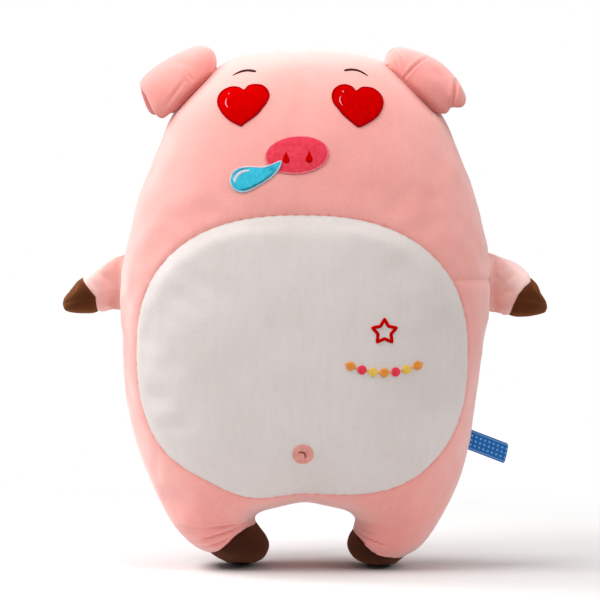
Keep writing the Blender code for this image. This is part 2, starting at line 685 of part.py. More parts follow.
# The middle of an ear's wadding: t runs down the root, and row goes from the root up to the fold,
# round it to the front and down the flap
def ear_point(hand, t, row):
    ends = [Vector((outline_x(share * BODY_HEIGHT), share * BODY_HEIGHT)) for share in EAR_ROOT_SHARES]
    z = ends[0].y + (ends[1].y - ends[0].y) * t
    root = Vector((outline_x(z) + 2 * CLEARANCE, z))
    fold = (ends[0] + Vector(EAR_FOLD_HIGH)).lerp(ends[1] + Vector(EAR_FOLD_LOW), t)
    edge = (ends[0] + Vector(EAR_EDGE_HIGH)).lerp(ends[1] + Vector(EAR_EDGE_LOW), t)
    radius = EAR_FOLD_RADIUS
    if row <= EAR_UP_COUNT:
        along = row / EAR_UP_COUNT * ((fold - root).length - radius)
        spot, y = root + (fold - root).normalized() * along, 0.0
    elif row < EAR_UP_COUNT + EAR_ROUND_COUNT:
        angle = math.pi * (row - EAR_UP_COUNT) / EAR_ROUND_COUNT
        base = root if angle <= math.pi / 2 else edge
        spot = fold - (fold - base).normalized() * radius * (1 - math.sin(angle))
        y = -radius * (1 - math.cos(angle))
    else:
        down = (row - EAR_UP_COUNT - EAR_ROUND_COUNT) / EAR_DOWN_COUNT
        length = (fold - edge).length - radius
        spot = edge + (fold - edge).normalized() * length * (1 - down)
        first, last = EAR_LIFT_SHARES
        wave = math.sin(math.pi * (first + (last - first) * t))
        lift = EAR_LIFT * math.sin(math.pi * down) * wave
        y = -2 * radius - lift
    return Vector((hand * spot.x, y, spot.y))


def ear_sheet(hand):
    rows = EAR_UP_COUNT + EAR_ROUND_COUNT + EAR_DOWN_COUNT
    sheet = bmesh.new()
    grid = bmesh.ops.create_grid(sheet, x_segments=EAR_COLUMN_COUNT, y_segments=rows, size=0.5)
    for vert in grid["verts"]:
        vert.co = ear_point(hand, vert.co.x + 0.5, round((vert.co.y + 0.5) * rows))
    bmesh.ops.triangulate(sheet, faces=sheet.faces)
    bmesh.ops.recalc_face_normals(sheet, faces=sheet.faces)
    sheet.normal_update()
    highest = max(sheet.faces, key=lambda face: face.calc_center_median().z)
    if highest.normal.z < 0:
        bmesh.ops.reverse_faces(sheet, faces=sheet.faces)
    return sheet


# A layer of an ear: its middle lies at a distance from the wadding's middle, outwards of the fold
def ear_layer(name, sheet, colour, distance, thickness):
    layer = bmesh.new()
    add_offset(layer, sheet, distance)
    piece = add_piece(name, mesh_of(name, layer), colour)
    solidify = piece.modifiers.new("thickness", "SOLIDIFY")
    solidify.thickness = thickness
    solidify.offset = 0.0
    return piece


def make_ears():
    apart = (EAR_WADDING + FABRIC) / 2 + CLEARANCE
    for side, hand in (("left", -1), ("right", 1)):
        sheet = ear_sheet(hand)
        pieces = [
            ear_layer(f"ear_wadding_{side}", sheet, "fibre", 0.0, EAR_WADDING),
            ear_layer(f"ear_outer_{side}", sheet, "pink_plush", apart, FABRIC),
            ear_layer(f"ear_inner_{side}", sheet, "pink_plush", -apart, FABRIC),
        ]
        sheet.free()
        back = apart + FABRIC / 2
        middle = ear_point(hand, 0.5, 0)
        carry(joint_empty(f"ear_{side}_axis", (middle.x, back, middle.z)), pieces)


def make_label():
    z = LABEL_SHARE * BODY_HEIGHT
    along = Vector((math.cos(LABEL_SLOPE), math.sin(LABEL_SLOPE)))
    stand_off = CLEARANCE + LABEL_THICKNESS / 2
    low, high = z - LABEL_WIDTH / 2, z + LABEL_WIDTH / 2
    roots = [Vector((outline_x(end) + stand_off, end)) for end in (high, low)]
    ends = [roots[0] + along * LABEL_LENGTH, roots[1] + along * LABEL_LENGTH]
    outline = [roots[0], ends[0], ends[1], roots[1]]
    mesh = prism_mesh("label", [outline], -LABEL_THICKNESS / 2, LABEL_THICKNESS / 2)
    piece = add_piece("side_label", mesh, "label_satin")
    middle = (roots[0] + roots[1]) / 2
    carry(joint_empty("side_label_axis", (middle.x, 0, middle.y)), [piece])


# A stem that leaves the back squarely and then winds about an axis above it
def make_tail():
    z = TAIL_SHARE * BODY_HEIGHT
    start = BACK_DEPTH * skin_share(0.0, z) + TAIL_GAP
    curve = bpy.data.curves.new("tail", "CURVE")
    curve.dimensions = "3D"
    curve.use_fill_caps = True
    curve.bevel_depth = TAIL_RADIUS
    curve.bevel_resolution = 1
    points = [((0.0, start, z), TAIL_ROOT_SHARE), ((0.0, start + TAIL_STEM / 2, z), 1.0)]
    for step in range(TAIL_STEP_COUNT + 1):
        turn = 2 * math.pi * TAIL_TURNS * step / TAIL_STEP_COUNT
        spot = (TAIL_CURL_RADIUS * math.sin(turn),
                start + TAIL_STEM + TAIL_PITCH * TAIL_TURNS * step / TAIL_STEP_COUNT,
                z + TAIL_CURL_RADIUS * (1 - math.cos(turn)))
        points.append((spot, 1.0 if step < TAIL_STEP_COUNT else TAIL_ROOT_SHARE))
    spline = curve.splines.new("POLY")
    spline.points.add(len(points) - 1)
    for point, (spot, thickness) in zip(spline.points, points):
        point.co = (*spot, 1.0)
        point.radius = thickness
    piece = add_piece("tail", mesh_from_curve("tail", curve, Matrix.Identity(4)), "pink_plush")
    carry(joint_empty("tail_axis", (0, start, z)), [piece])


def smooth_all():
    for piece in PIG.objects:
        if piece.type == "MESH":
            piece.data.shade_smooth()


def main():
    surface = body_surface()
    make_body(surface)
    make_face(surface)
    make_belly_stitching(surface)
    make_arms()
    make_ears()
    make_label()
    make_tail()
    smooth_all()
    surface.free()


main()
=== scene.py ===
import math

import bpy
import numpy as np
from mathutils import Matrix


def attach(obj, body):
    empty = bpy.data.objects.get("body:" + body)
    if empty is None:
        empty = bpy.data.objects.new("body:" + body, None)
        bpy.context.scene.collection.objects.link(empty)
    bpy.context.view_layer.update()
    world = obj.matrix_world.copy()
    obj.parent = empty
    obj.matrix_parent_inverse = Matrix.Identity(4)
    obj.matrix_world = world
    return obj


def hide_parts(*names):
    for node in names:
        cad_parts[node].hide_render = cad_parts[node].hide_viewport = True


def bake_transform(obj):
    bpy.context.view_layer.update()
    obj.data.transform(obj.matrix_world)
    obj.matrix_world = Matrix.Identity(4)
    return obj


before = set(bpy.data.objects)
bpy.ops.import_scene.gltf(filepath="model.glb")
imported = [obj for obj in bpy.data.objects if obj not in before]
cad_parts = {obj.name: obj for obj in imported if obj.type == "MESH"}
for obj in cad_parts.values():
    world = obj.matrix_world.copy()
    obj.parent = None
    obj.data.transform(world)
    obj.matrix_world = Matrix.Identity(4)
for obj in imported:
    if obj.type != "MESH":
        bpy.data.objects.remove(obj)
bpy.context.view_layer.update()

# Looks of a stuffed plush pig. Metres, +Z up, the face looks along -Y. Left and right are as the
# picture shows them, so the left side is at -X.

pi = math.pi


# Shape of the sewn body, the same formulas that the frame's solids are drawn from.
bodyShape = {
    "height": 0.4945,
    "halfWidth": 0.1765,
    "frontDepth": 0.108,
    "backDepth": 0.092,
    "crotchHeight": 0.0624,
    "legGapHalf": 0.0475,
    "crotchRound": 0.020,
    "hipBlend": 0.110,
    "footLean": 0.006,
    "plumpness": 2.3,  # exponent of the rounded sections
    "soleShare": 0.200,
    "outline": (  # shares of half-width and height
        (0.0, 1.0), (0.255, 0.994), (0.430, 0.976), (0.584, 0.936), (0.745, 0.870),
        (0.876, 0.761), (0.955, 0.667), (1.0, 0.550), (0.985, 0.435), (0.935, 0.295),
        (0.850, 0.178), (0.742, 0.093), (0.629, 0.040), (0.530, 0.015), (0.465, 0.0),
    ),
    "depths": (  # shares of depth and height
        (0.0, 1.0), (0.20, 0.994), (0.37, 0.979), (0.56, 0.946), (0.71, 0.890),
        (0.82, 0.810), (0.91, 0.700), (0.975, 0.590), (1.0, 0.475), (0.975, 0.365),
        (0.89, 0.263), (0.745, 0.182), (0.60, 0.126), (0.50, 0.081), (0.43, 0.040),
        (0.36, 0.015), (0.27, 0.0),
    ),
    "inseam": (  # shares of half the gap and of the crotch height
        (0.0, 1.0), (0.25, 0.980), (0.48, 0.938), (0.65, 0.889), (0.80, 0.833),
        (0.95, 0.770), (1.0, 0.700), (0.93, 0.580), (0.83, 0.460), (0.79, 0.320),
        (0.86, 0.170), (0.99, 0.060), (1.18, 0.0),
    ),
}
hands = (("Left", -1, "left"), ("Right", 1, "right"))
bodyHeight, bodyHalf = bodyShape["height"], bodyShape["halfWidth"]
crotch = bodyShape["crotchHeight"]
plump = bodyShape["plumpness"]


# Catmull-Rom: each run between two rows is a cubic whose end slopes follow the rows around it.
def cubicRuns(before, start, end, after, steps):
    t = np.linspace(0.0, 1.0, steps, endpoint=False)[None, :, None]
    p0, p1, p2, p3 = [p[:, None, :] for p in (before, start, end, after)]
    bend = (2 * p0 - 5 * p1 + 4 * p2 - p3) * t**2 + (3 * p1 - p0 - 3 * p2 + p3) * t**3
    return (p1 + ((p2 - p0) * t + bend) / 2).reshape(-1, start.shape[1])


# At a pole the line is mirrored, so that it crosses the axis level.
def smoothLine(rows, steps=16, pole=False):
    points = np.array(rows, float)
    first = points[1] * (-1.0, 1.0) if pole else 2 * points[0] - points[1]
    before = np.vstack([first, points[:-2]])
    after = np.vstack([points[2:], 2 * points[-1] - points[-2]])
    return np.vstack([cubicRuns(before, points[:-1], points[1:], after, steps), points[-1:]])


def smoothRing(rows, steps=8):
    points = np.array(rows, float)
    return cubicRuns(*[np.roll(points, k, 0) for k in (1, 0, -1, -2)], steps)


# The other columns of a table, read where its first column has the given values.
def readTable(rows, at):
    columns = np.array(rows, float).T
    return [np.interp(at, columns[0], column) for column in columns[1:]]


def unit(vectors):
    return vectors / np.maximum(np.linalg.norm(vectors, axis=-1, keepdims=True), 1e-12)


def clamp(value):
    return np.clip(value, 0, 1)


def bell(value):
    return np.exp(-(value**2))


# Cosines and sines to this power draw a superellipse.
def signedPower(value, power):
    return np.sign(value) * np.abs(value) ** power


# Slopes of a field over both of its values.
def slopes(field, x, z, reach):
    return ((field(x + reach, z) - field(x - reach, z)) / (2 * reach),
            (field(x, z + reach) - field(x, z - reach)) / (2 * reach))


outlineLine = smoothLine(bodyShape["outline"], pole=True) * (bodyHalf, bodyHeight)
depthLine = smoothLine(bodyShape["depths"], pole=True) * (1.0, bodyHeight)
inseamLine = smoothLine(bodyShape["inseam"], pole=True) * (bodyShape["legGapHalf"], crotch)


# The first column of a line, where the second column falls along it.
def lookUp(line, z):
    return np.interp(z, line[::-1, 1], line[::-1, 0])


# The stuffed body isn't quite even. At each height, how many millimetres its left and right edges
# lie to the right of the even outline. Between the edges the shift runs straight from one to the
# other.
swayRows = (
    (-0.0057, 1.9, -1.9), (0.0192, 2.9, -2.9), (0.0423, 3.4, -3.8), (0.0653, 3.8, -2.9),
    (0.0884, 1.9, -1.9), (0.1229, -1, -1.9), (0.1460, -1.9, -3.5), (0.1690, -1.9, -4.8),
    (0.1920, -1.4, -3.8), (0.2151, 0, -1.9), (0.2381, 1, 0), (0.2727, 1.2, 0.8),
    (0.3072, 3.4, 1.9), (0.3303, 4.3, 0.5), (0.3533, 3.8, 0.5), (0.3764, 4.8, 1.4),
    (0.3975, 5.3, 1), (0.4090, 5.3, 1), (0.4224, 4.3, 1), (0.4858, 1.9, 1),
)


def sway(x, z):
    share = np.clip(x / np.maximum(lookUp(outlineLine, z), 1e-3), -1, 1)
    left, right = readTable(swayRows, z)
    return (left * (1 - share) + right * (1 + share)) * 0.0005  # half the sum, in metres


# The toes of the stuffed feet stand off the floor: how far the fabric rises at places (x, y, z).
toes = {"left": 0.0095, "right": 0.0060, "heel": 0.022, "front": -0.040, "top": 0.045}


def toeRise(x, y, z):
    share = clamp((toes["heel"] - y) / (toes["heel"] - toes["front"]))
    most = np.where(x < 0, toes["left"], toes["right"])
    return most * share * clamp(1 - z / toes["top"]) ** 2


# Places (x, z) beside the crotch where the filling pushes the fabric aside, how far to the right
# and up, and how widely. It has its full strength above the height "whole".
nudges = {
    "whole": 0.02,
    "places": ((-0.042, 0.051, -0.0018, 0.0026, 0.012), (0.040, 0.052, 0.0018, 0.0026, 0.012),
               (0.047, 0.028, 0.0024, -0.0010, 0.016)),
}


def nudged(x, z):
    moved = np.zeros((len(x), 2))
    for placeX, placeZ, right, up, wide in nudges["places"]:
        near = np.exp(-((x - placeX) ** 2 + (z - placeZ) ** 2) / wide**2)
        near = near * clamp(z / nudges["whole"])
        moved += near[:, None] * (right, up)
    return moved


def hipShare(z):
    return np.sin(clamp((z - crotch) / bodyShape["hipBlend"]) * pi / 2)


def footLean(z):
    return bodyShape["footLean"] * np.maximum(1 - z / crotch, 0) ** 2


# Distance of the skin from the seam plane, as a share of the greatest depth. Each leg is a
# superellipse from its inside line to the outline. Above the crotch the inside line runs over to
# the far outline, until both legs are one section.
def skinShare(x, z):
    hip = hipShare(z)
    soft = bodyShape["crotchRound"] * (1 - hip)
    gap = np.where(z < crotch, lookUp(inseamLine, z), 0.0)
    across = np.hypot(x - footLean(z), soft)
    outer = np.hypot(lookUp(outlineLine, z), soft)
    inner = np.hypot(gap, soft)
    inner = inner - (inner + outer) * hip
    half = np.maximum((outer - inner) / 2, 1e-6)
    off = np.minimum(np.abs(across - (outer + inner) / 2) / half, 1.0)
    return lookUp(depthLine, z) * (1 - off**plump) ** (1 / plump)


# Side is -1 on the front and +1 on the back.
def skinY(x, z, side):
    depth = np.where(side < 0, -bodyShape["frontDepth"], bodyShape["backDepth"])
    return depth * skinShare(x, z)


# Outward unit normals of the skin at places (x, z), from its slopes.
def skinNormal(x, z, side, reach=0.0004):
    slopeX, slopeZ = slopes(lambda x, z: skinY(x, z, side), x, z, reach)
    return unit(np.stack([-slopeX, np.ones_like(slopeX), -slopeZ], -1) * np.sign(side)[..., None])


# Angles that walk round a quarter of a superellipse in even steps, as a table of shares of width.
def evenWay(aspect, span):
    angle = np.linspace(0, span, 2000)
    c, s = np.cos(angle), np.sin(angle)
    across = signedPower(c, 2 / plump)
    along = aspect * np.abs(s) ** (2 / plump)
    walked = np.concatenate([[0], np.cumsum(np.hypot(np.diff(across), np.diff(along)))])
    return walked / walked[-1], (1 - across) / (1 - across[-1])


torsoWay = evenWay(0.62, pi / 2)
legWay = evenWay(0.90, pi)


# Width position of column u (0 at the outer seam, 1 at the inside line) at height z.
def columnX(u, z, hand):
    hip = hipShare(z)
    outer = lookUp(outlineLine, z)
    inner = np.where(z < crotch, lookUp(inseamLine, z), 0.0)
    even = np.maximum(1 - z / (bodyShape["soleShare"] * crotch), 0)
    leg = even * u + (1 - even) * np.interp(u, *legWay)
    way = hip * np.interp(u, *torsoWay) + (1 - hip) * leg
    return hand * (outer + (inner - outer) * way) + footLean(z)


# Signed distance to a seam that is drawn as an implicit line: its value divided by its slope.
def asDistance(field, x, z, reach=0.0005):
    return field(x, z) / np.maximum(np.hypot(*slopes(field, x, z, reach)), 1e-6)


# Seams of the body, in real sizes.
seams = {
    "bellyHalf": (0.1545, 0.1572),  # to the left and to the right
    "bellyTop": 0.3328,
    "bellyBottom": 0.0712,
    "bellySquare": ((2.46, 2.40), (2.54, 2.42)),  # above, then below, each left and right
    "bellyShift": -0.0038,  # the upper belly sits this far to the left
    "bellyWave": 0.0028,  # how far the lower edge of the belly wavers
    "bellyWaveLength": (0.100, 0.200),
    "sideSeam": 0.2724, "sideTilt": 0.014,
    "hoofLeft": ((0.036, 0.0430), (0.0457, 0.0412), (0.0500, 0.0410), (0.0548, 0.0400),
                 (0.0643, 0.0342), (0.0729, 0.0256), (0.0796, 0.0194), (0.0853, 0.0162),
                 (0.110, 0.0090)),
    "hoofRight": ((0.036, 0.0420), (0.0465, 0.0338), (0.0531, 0.0268), (0.0608, 0.0192),
                  (0.0704, 0.0137), (0.079, 0.0117), (0.0914, 0.0108), (0.110, 0.0115)),
}


# Belly seam: a superellipse whose lower edge carries a slow wave. Negative inside.
def bellyField(x, z):
    middle = (seams["bellyTop"] + seams["bellyBottom"]) / 2
    tall = (seams["bellyTop"] - seams["bellyBottom"]) / 2
    low = clamp((middle - z) / tall)
    moved = x - seams["bellyShift"] * (1 - low)
    length = np.where(x < 0, *seams["bellyWaveLength"])
    lifted = z - seams["bellyWave"] * low * np.cos(2 * pi * x / length)
    power = np.where(z > middle, np.where(moved < 0, *seams["bellySquare"][0]),
                     np.where(moved < 0, *seams["bellySquare"][1]))
    half = np.where(moved < 0, *seams["bellyHalf"])
    reach = np.abs(moved / half) ** power + np.abs((lifted - middle) / tall) ** power
    return reach ** (1 / power) - 1


def bellyDistance(x, z):
    return asDistance(bellyField, x + sway(x, z), z)


def levelDistance(x, z):
    return z - seams["sideSeam"] - seams["sideTilt"] * x


hoofLines = [smoothLine(seams[name], steps=8) for name in ("hoofLeft", "hoofRight")]


# Hoof seams: height over distance from the middle, one line for each foot.
def hoofDistance(x, z):
    left, right = hoofLines
    shown = x + sway(x, z)
    height = np.where(x < 0, readTable(left, -shown)[0], readTable(right, shown)[0])
    return (z + toeRise(x, -0.03, z) - height) * 0.8


seamFields = {"belly": bellyDistance, "level": levelDistance, "hoof": hoofDistance}
seamSides = {"belly": (-1,), "level": (-1, 1), "hoof": (-1, 1)}


# Moves the grid points next to a seam onto it, along their own rows and columns. Of each grid edge
# that the seam crosses, the nearer end moves, so no face is left with the seam through its inside.
def snapToSeam(u, z, hand, field, taken, girth=0.22, reach=1e-4):
    def offSeam(u, z):
        return field(columnX(u, z, hand), z)

    value = offSeam(u, z)
    near = np.zeros(u.shape, bool)
    for axis in (0, 1):
        low = [slice(None), slice(None)]
        high = [slice(None), slice(None)]
        low[axis], high[axis] = slice(None, -1), slice(1, None)
        low, high = tuple(low), tuple(high)
        crossed = value[low] * value[high] < 0
        lowNearer = np.abs(value[low]) <= np.abs(value[high])
        lowMoves = (lowNearer & ~taken[low]) | taken[high]
        near[low] |= crossed & lowMoves
        near[high] |= crossed & ~lowMoves
    near &= ~taken
    border = np.zeros(u.shape, bool)
    border[:, [0, -1]] = True
    for _ in range(4):
        here = offSeam(u, z)
        slopeU, slopeZ = slopes(offSeam, u, z, reach)
        slopeU = np.where(border, 0.0, slopeU) / girth
        size = np.maximum(slopeU**2 + slopeZ**2, 1e-6)
        u = np.where(near, clamp(u - here * slopeU / size / girth), u)
        z = np.where(near, z - here * slopeZ / size, z)
    return u, z, near


# One sheet of the body: torso, or one leg with its half of the sole. Rows run down from the crown
# or the crotch. Towards the inside line they crowd together, where the crotch is tightly round.
def bodySheet(side, part, counts):
    columns, torsoRows, legRows, soleRows = counts
    torso = part == "torso"
    rows = torsoRows if torso else legRows
    if torso:
        w = np.linspace(-1, 1, 2 * columns + 1)
        u, hand = 1 - np.abs(w), np.where(w < 0, -1.0, 1.0)
    else:
        u = np.linspace(0, 1, columns + 1)
        hand = np.full(columns + 1, -1.0 if part == "leg_left" else 1.0)
    v = np.linspace(0, 1, rows + 1)[:, None]
    blend = u**2 * (3 - 2 * u)
    atSeam = np.cos(pi * v / 2) if torso else 1 - np.sin(pi * v / 2)
    share = (1 - blend) * atSeam + blend * (1 + np.cos(pi * v)) / 2
    under = np.zeros(rows + 1)
    if torso:
        z = crotch + share * (bodyHeight - crotch)
    else:
        z = np.vstack([share * crotch, np.zeros((soleRows, columns + 1))])
        under = np.concatenate([under, np.linspace(0, 1, soleRows + 1)[1:]])
    u = np.broadcast_to(u, z.shape).copy()
    hand = np.broadcast_to(hand, z.shape)
    taken = np.zeros(z.shape, bool)
    seamOf = {}
    for name, field in seamFields.items():
        seamOf[name] = np.zeros(z.shape, bool)
        if side in seamSides[name] and (name == "hoof") != torso:
            u, z, seamOf[name] = snapToSeam(u, z, hand, field, taken)
            taken |= seamOf[name]
    x = columnX(u, z, hand)
    y = skinY(x, z, np.full(z.shape, float(side))) * (1 - under)[:, None]
    return np.stack([x, y, z], -1), seamOf


# Quads of a grid, wound so that they face outwards on the front.
def gridQuads(rows, columns, start=0):
    index = start + np.arange(rows * columns).reshape(rows, columns)
    corners = [index[:-1, :-1], index[1:, :-1], index[1:, 1:], index[:-1, 1:]]
    return np.stack(corners, -1).reshape(-1, 4)


# Which triangles have three corners of their own.
def isWhole(triangles):
    a, b, c = triangles.T
    return (a != b) & (b != c) & (a != c)


# All sheets welded into one closed skin of triangles. A quad is cut along the diagonal that a seam
# takes through it, or else along the shorter one.
def wholeSkin(counts):
    points, quads, quadSides, start = [], [], [], 0
    marks = {name: [] for name in seamFields}
    for side in (-1, 1):
        for part in ("torso", "leg_left", "leg_right"):
            spots, seamOf = bodySheet(side, part, counts)
            rows, columns = spots.shape[:2]
            faces = gridQuads(rows, columns, start)
            flip = (side > 0) != (part == "leg_right")
            quads.append(faces[:, ::-1] if flip else faces)
            quadSides.append(np.full(len(faces), side))
            points.append(spots.reshape(-1, 3))
            for name in marks:
                marks[name].append(seamOf[name].ravel())
            start += rows * columns
    points, quads = np.vstack(points), np.vstack(quads)
    _, first, inverse = np.unique(np.round(points * 1e5).astype(np.int64), axis=0,
                                  return_index=True, return_inverse=True)
    inverse = inverse.ravel()
    points, quads = points[first], inverse[quads]
    a, b, c, d = quads.T
    longAC, longBD = [np.linalg.norm(points[p] - points[q], axis=1) for p, q in ((a, c), (b, d))]
    cutAC = longAC <= longBD
    onSeam = {}
    for name in marks:
        onSeam[name] = np.zeros(len(points), bool)
        np.logical_or.at(onSeam[name], inverse, np.concatenate(marks[name]))
        onA, onB, onC, onD = onSeam[name][quads].T
        cutAC = (onA & onC) | (cutAC & ~(onB & onD))
    first3 = np.where(cutAC, (a, b, c), (a, b, d)).T
    last3 = np.where(cutAC, (a, c, d), (b, c, d)).T
    triangles = np.vstack([first3, last3])
    whole = isWhole(triangles)
    return points, triangles[whole], np.concatenate(quadSides * 2)[whole], onSeam


def newMesh(name, points, faces):
    mesh = bpy.data.meshes.new(name)
    mesh.from_pydata(points.tolist(), [], faces.tolist())
    mesh.update()
    return mesh


def newObject(name, data):
    made = bpy.data.objects.new(name, data)
    bpy.context.scene.collection.objects.link(made)
    return made


def pointNormals(points, faces):
    mesh = newMesh("forNormals", points, faces)
    normals = np.empty(len(points) * 3, np.float32)
    mesh.vertices.foreach_get("normal", normals)
    bpy.data.meshes.remove(mesh)
    return normals.reshape(-1, 3).astype(float)


skinCounts = (96, 190, 66, 10)
skinPoints, skinTriangles, triangleSides, onSeam = wholeSkin(skinCounts)
print("skin", len(skinPoints), "points", len(skinTriangles), "triangles")


filling = {
    "quality": 5, "mass": 0.2, "bending_stiffness": 0.6,
    "use_pressure": True, "uniform_pressure_force": 4.0, "vertex_group_mass": "held",
}


# Cloth under inside pressure, held where the pinned points are. The skin is filled like a cushion:
# it swells between its seams. Gives how far each point moved.
def swell(name, points, faces, pinned, stiffness, shrink, frames):
    mesh = newMesh(name, points, faces)
    pad = newObject(name, mesh)
    held = pad.vertex_groups.new(name="held")
    held.add([int(i) for i in np.flatnonzero(pinned)], 1.0, "REPLACE")
    cloth = pad.modifiers.new("cloth", "CLOTH")
    for setting, value in filling.items():
        setattr(cloth.settings, setting, value)
    cloth.settings.tension_stiffness = cloth.settings.compression_stiffness = stiffness
    cloth.settings.shrink_min = shrink
    cloth.settings.effector_weights.gravity = 0
    cloth.collision_settings.use_collision = False
    cloth.point_cache.frame_start = 1
    cloth.point_cache.frame_end = frames
    for step in range(1, frames + 1):
        bpy.context.scene.frame_set(step)
    shown = pad.evaluated_get(bpy.context.evaluated_depsgraph_get())
    moved = np.empty(len(points) * 3, np.float32)
    shown.data.vertices.foreach_get("co", moved)
    bpy.data.objects.remove(pad, do_unlink=True)
    bpy.data.meshes.remove(mesh)
    bpy.context.scene.frame_set(1)
    return moved.reshape(-1, 3) - points


# Evens out values over the body: adds them up in cells of a raster over the width share and the
# height, blurs sums and counts alike, and divides.
def spreadOut(across, z, values, cells, blur):
    row = np.clip(np.round((across + 1) / 2 * (cells[0] - 1)).astype(int), 0, cells[0] - 1)
    column = np.clip(np.round(z / bodyHeight * (cells[1] - 1)).astype(int), 0, cells[1] - 1)
    total, count = np.zeros(cells), np.zeros(cells)
    np.add.at(total, (row, column), values)
    np.add.at(count, (row, column), 1.0)
    for _ in range(blur):
        for axis in (0, 1):
            total = (np.roll(total, 1, axis) + 2 * total + np.roll(total, -1, axis)) / 4
            count = (np.roll(count, 1, axis) + 2 * count + np.roll(count, -1, axis)) / 4
    return total / np.maximum(count, 1e-9)


# A raster read between its cells, at places counted in rows and columns. Its columns run round.
def readBetween(raster, a, b):
    columns = raster.shape[1]
    i, j = a.astype(int), b.astype(int) % columns
    f, g, k = a - i, b - np.floor(b), (j + 1) % columns
    return ((raster[i, j] * (1 - g) + raster[i, k] * g) * (1 - f)
            + (raster[i + 1, j] * (1 - g) + raster[i + 1, k] * g) * f)


def readBody(raster, across, z):
    rows, columns = raster.shape
    a = np.clip((across + 1) / 2 * (rows - 1), 0, rows - 1.001)
    return readBetween(raster, a, np.clip(z / bodyHeight * (columns - 1), 0, columns - 1.001))


def readArm(raster, share, angle):
    rows, columns = raster.shape
    a = np.clip(share * (rows - 1), 0, rows - 1.001)
    return readBetween(raster, a, np.mod(angle / (2 * pi) * columns, columns))


# Place across the body as an angle share, -1 at the left seam and +1 at the right one.
def acrossShare(x, z):
    reach = (x - footLean(z)) / np.maximum(lookUp(outlineLine, z), 1e-4)
    return np.arcsin(np.clip(reach, -1, 1)) * 2 / pi


bodyFill = {
    "counts": (30, 60, 14, 3),
    "cells": (60, 76),
    "blur": 1,
    "most": 0.0034,  # furthest that the fabric swells between the seams
    "cloth": (12.0, -0.012, 20),  # stiffness, shrinkage and frames
}


# Swelling of the body's fabric as two rasters, for front and back.
def bodySwelling():
    points, triangles, _, on = wholeSkin(bodyFill["counts"])
    x, y, z = points.T
    front = y < 0
    backSeam = (np.abs(x - footLean(z)) < 0.002) & ~front
    pinned = on["belly"] & front | on["hoof"] | (np.abs(y) < 1e-5) | backSeam | (z < 0.001)
    pinned |= on["level"] & front & (bellyDistance(x, z) > 0) & (x > 0)
    moved = swell("bodyPad", points, triangles, pinned, *bodyFill["cloth"])
    out = np.einsum("ij,ij->i", moved, pointNormals(points, triangles))
    out = bodyFill["most"] * np.tanh(out / bodyFill["most"])
    print("swelling from", round(out.min() * 1000, 2), "to", round(out.max() * 1000, 2), "mm")
    across = acrossShare(x, z)
    return {side: spreadOut(across[mask], z[mask], out[mask], bodyFill["cells"], bodyFill["blur"])
            for side, mask in ((-1, y <= 1e-5), (1, y >= -1e-5))}


# Folds of the fabric as short curved grooves: start, bend and end in x and z, then depth and width.
legFolds = (
    ((-0.0552, 0.0466), (-0.0865, 0.0422), (-0.1195, 0.0418), 0.0013, 0.0013),
    ((-0.0657, 0.0452), (-0.0975, 0.0384), (-0.1214, 0.0375), 0.0009, 0.0013),
    ((-0.0561, 0.0452), (-0.0773, 0.0354), (-0.1061, 0.0264), 0.0017, 0.0014),
    ((-0.0696, 0.0336), (-0.0793, 0.0234), (-0.1003, 0.0197), 0.0013, 0.0014),
    ((0.0456, 0.0389), (0.0552, 0.0314), (0.084, 0.0216), 0.0015, 0.0014),
    ((0.0447, 0.0356), (0.0523, 0.027), (0.0639, 0.0221), 0.001, 0.0013),
    ((0.0504, 0.0432), (0.0577, 0.0366), (0.0783, 0.0336), 0.0008, 0.0018),
)


# Which of the places (x, z) lie in the box of a line widened by a reach, which point of the line is
# closest to each of them, and how far away it is.
def nearestOn(line, x, z, reach):
    low, high = line.min(0) - reach, line.max(0) + reach
    near = (x > low[0]) & (x < high[0]) & (z > low[1]) & (z < high[1])
    spots = np.stack([x[near], z[near]], 1)
    away = np.linalg.norm(spots[:, None, :] - line[None], axis=2)
    closest = away.argmin(1)
    return near, closest, away[np.arange(len(spots)), closest]


# Depth of a fold at places (x, z): a bell across a quadratic curve, fading towards both ends, with
# a low ridge on either side.
def foldRelief(x, z, fold):
    start, bend, end, depth, width = fold
    t = np.linspace(0, 1, 25)[:, None]
    line = (1 - t) ** 2 * np.array(start) + 2 * t * (1 - t) * np.array(bend) + t**2 * np.array(end)
    near, closest, off = nearestOn(line, x, z, 6 * width)
    fade = np.sin(pi * clamp(t[closest, 0] * 0.94 + 0.05)) ** 0.6
    ridge, groove = bell(off / width - 2.1), bell(off / width)
    relief = np.zeros(x.shape)
    relief[near] = depth * fade * (0.45 * ridge - groove)
    return relief


# Where the ears rest on the head, in x and z.
earRest = (
    ((-0.0860, 0.4735), (-0.0922, 0.4640), (-0.0998, 0.4555), (-0.1079, 0.4469),
     (-0.1155, 0.4393)),
    ((0.0784, 0.4764), (0.0869, 0.4673), (0.0964, 0.4569), (0.1078, 0.4450), (0.1202, 0.4346)),
)


# Distance in the picture plane from places (x, z) to a line, for the places close to it.
def awayFrom(line, x, z, close=0.03):
    near, _, off = nearestOn(smoothLine(line, steps=6), x, z, close)
    away = np.full(x.shape, close)
    away[near] = off
    return away


# Slow unevenness of the filling under the fabric, a sum of a few waves that don't line up.
def lumps(x, y, z, size):
    x, z = x / size, z / size
    first = np.sin(x + 1.3 * np.sin(z * 0.7) + 0.4) * np.sin(z * 0.9 + y / size)
    second = np.sin(x * 1.9 - z * 0.6 + 2.1) * np.sin(z * 1.7 + 0.8 * y / size + 1.0)
    return 0.65 * first + 0.35 * second


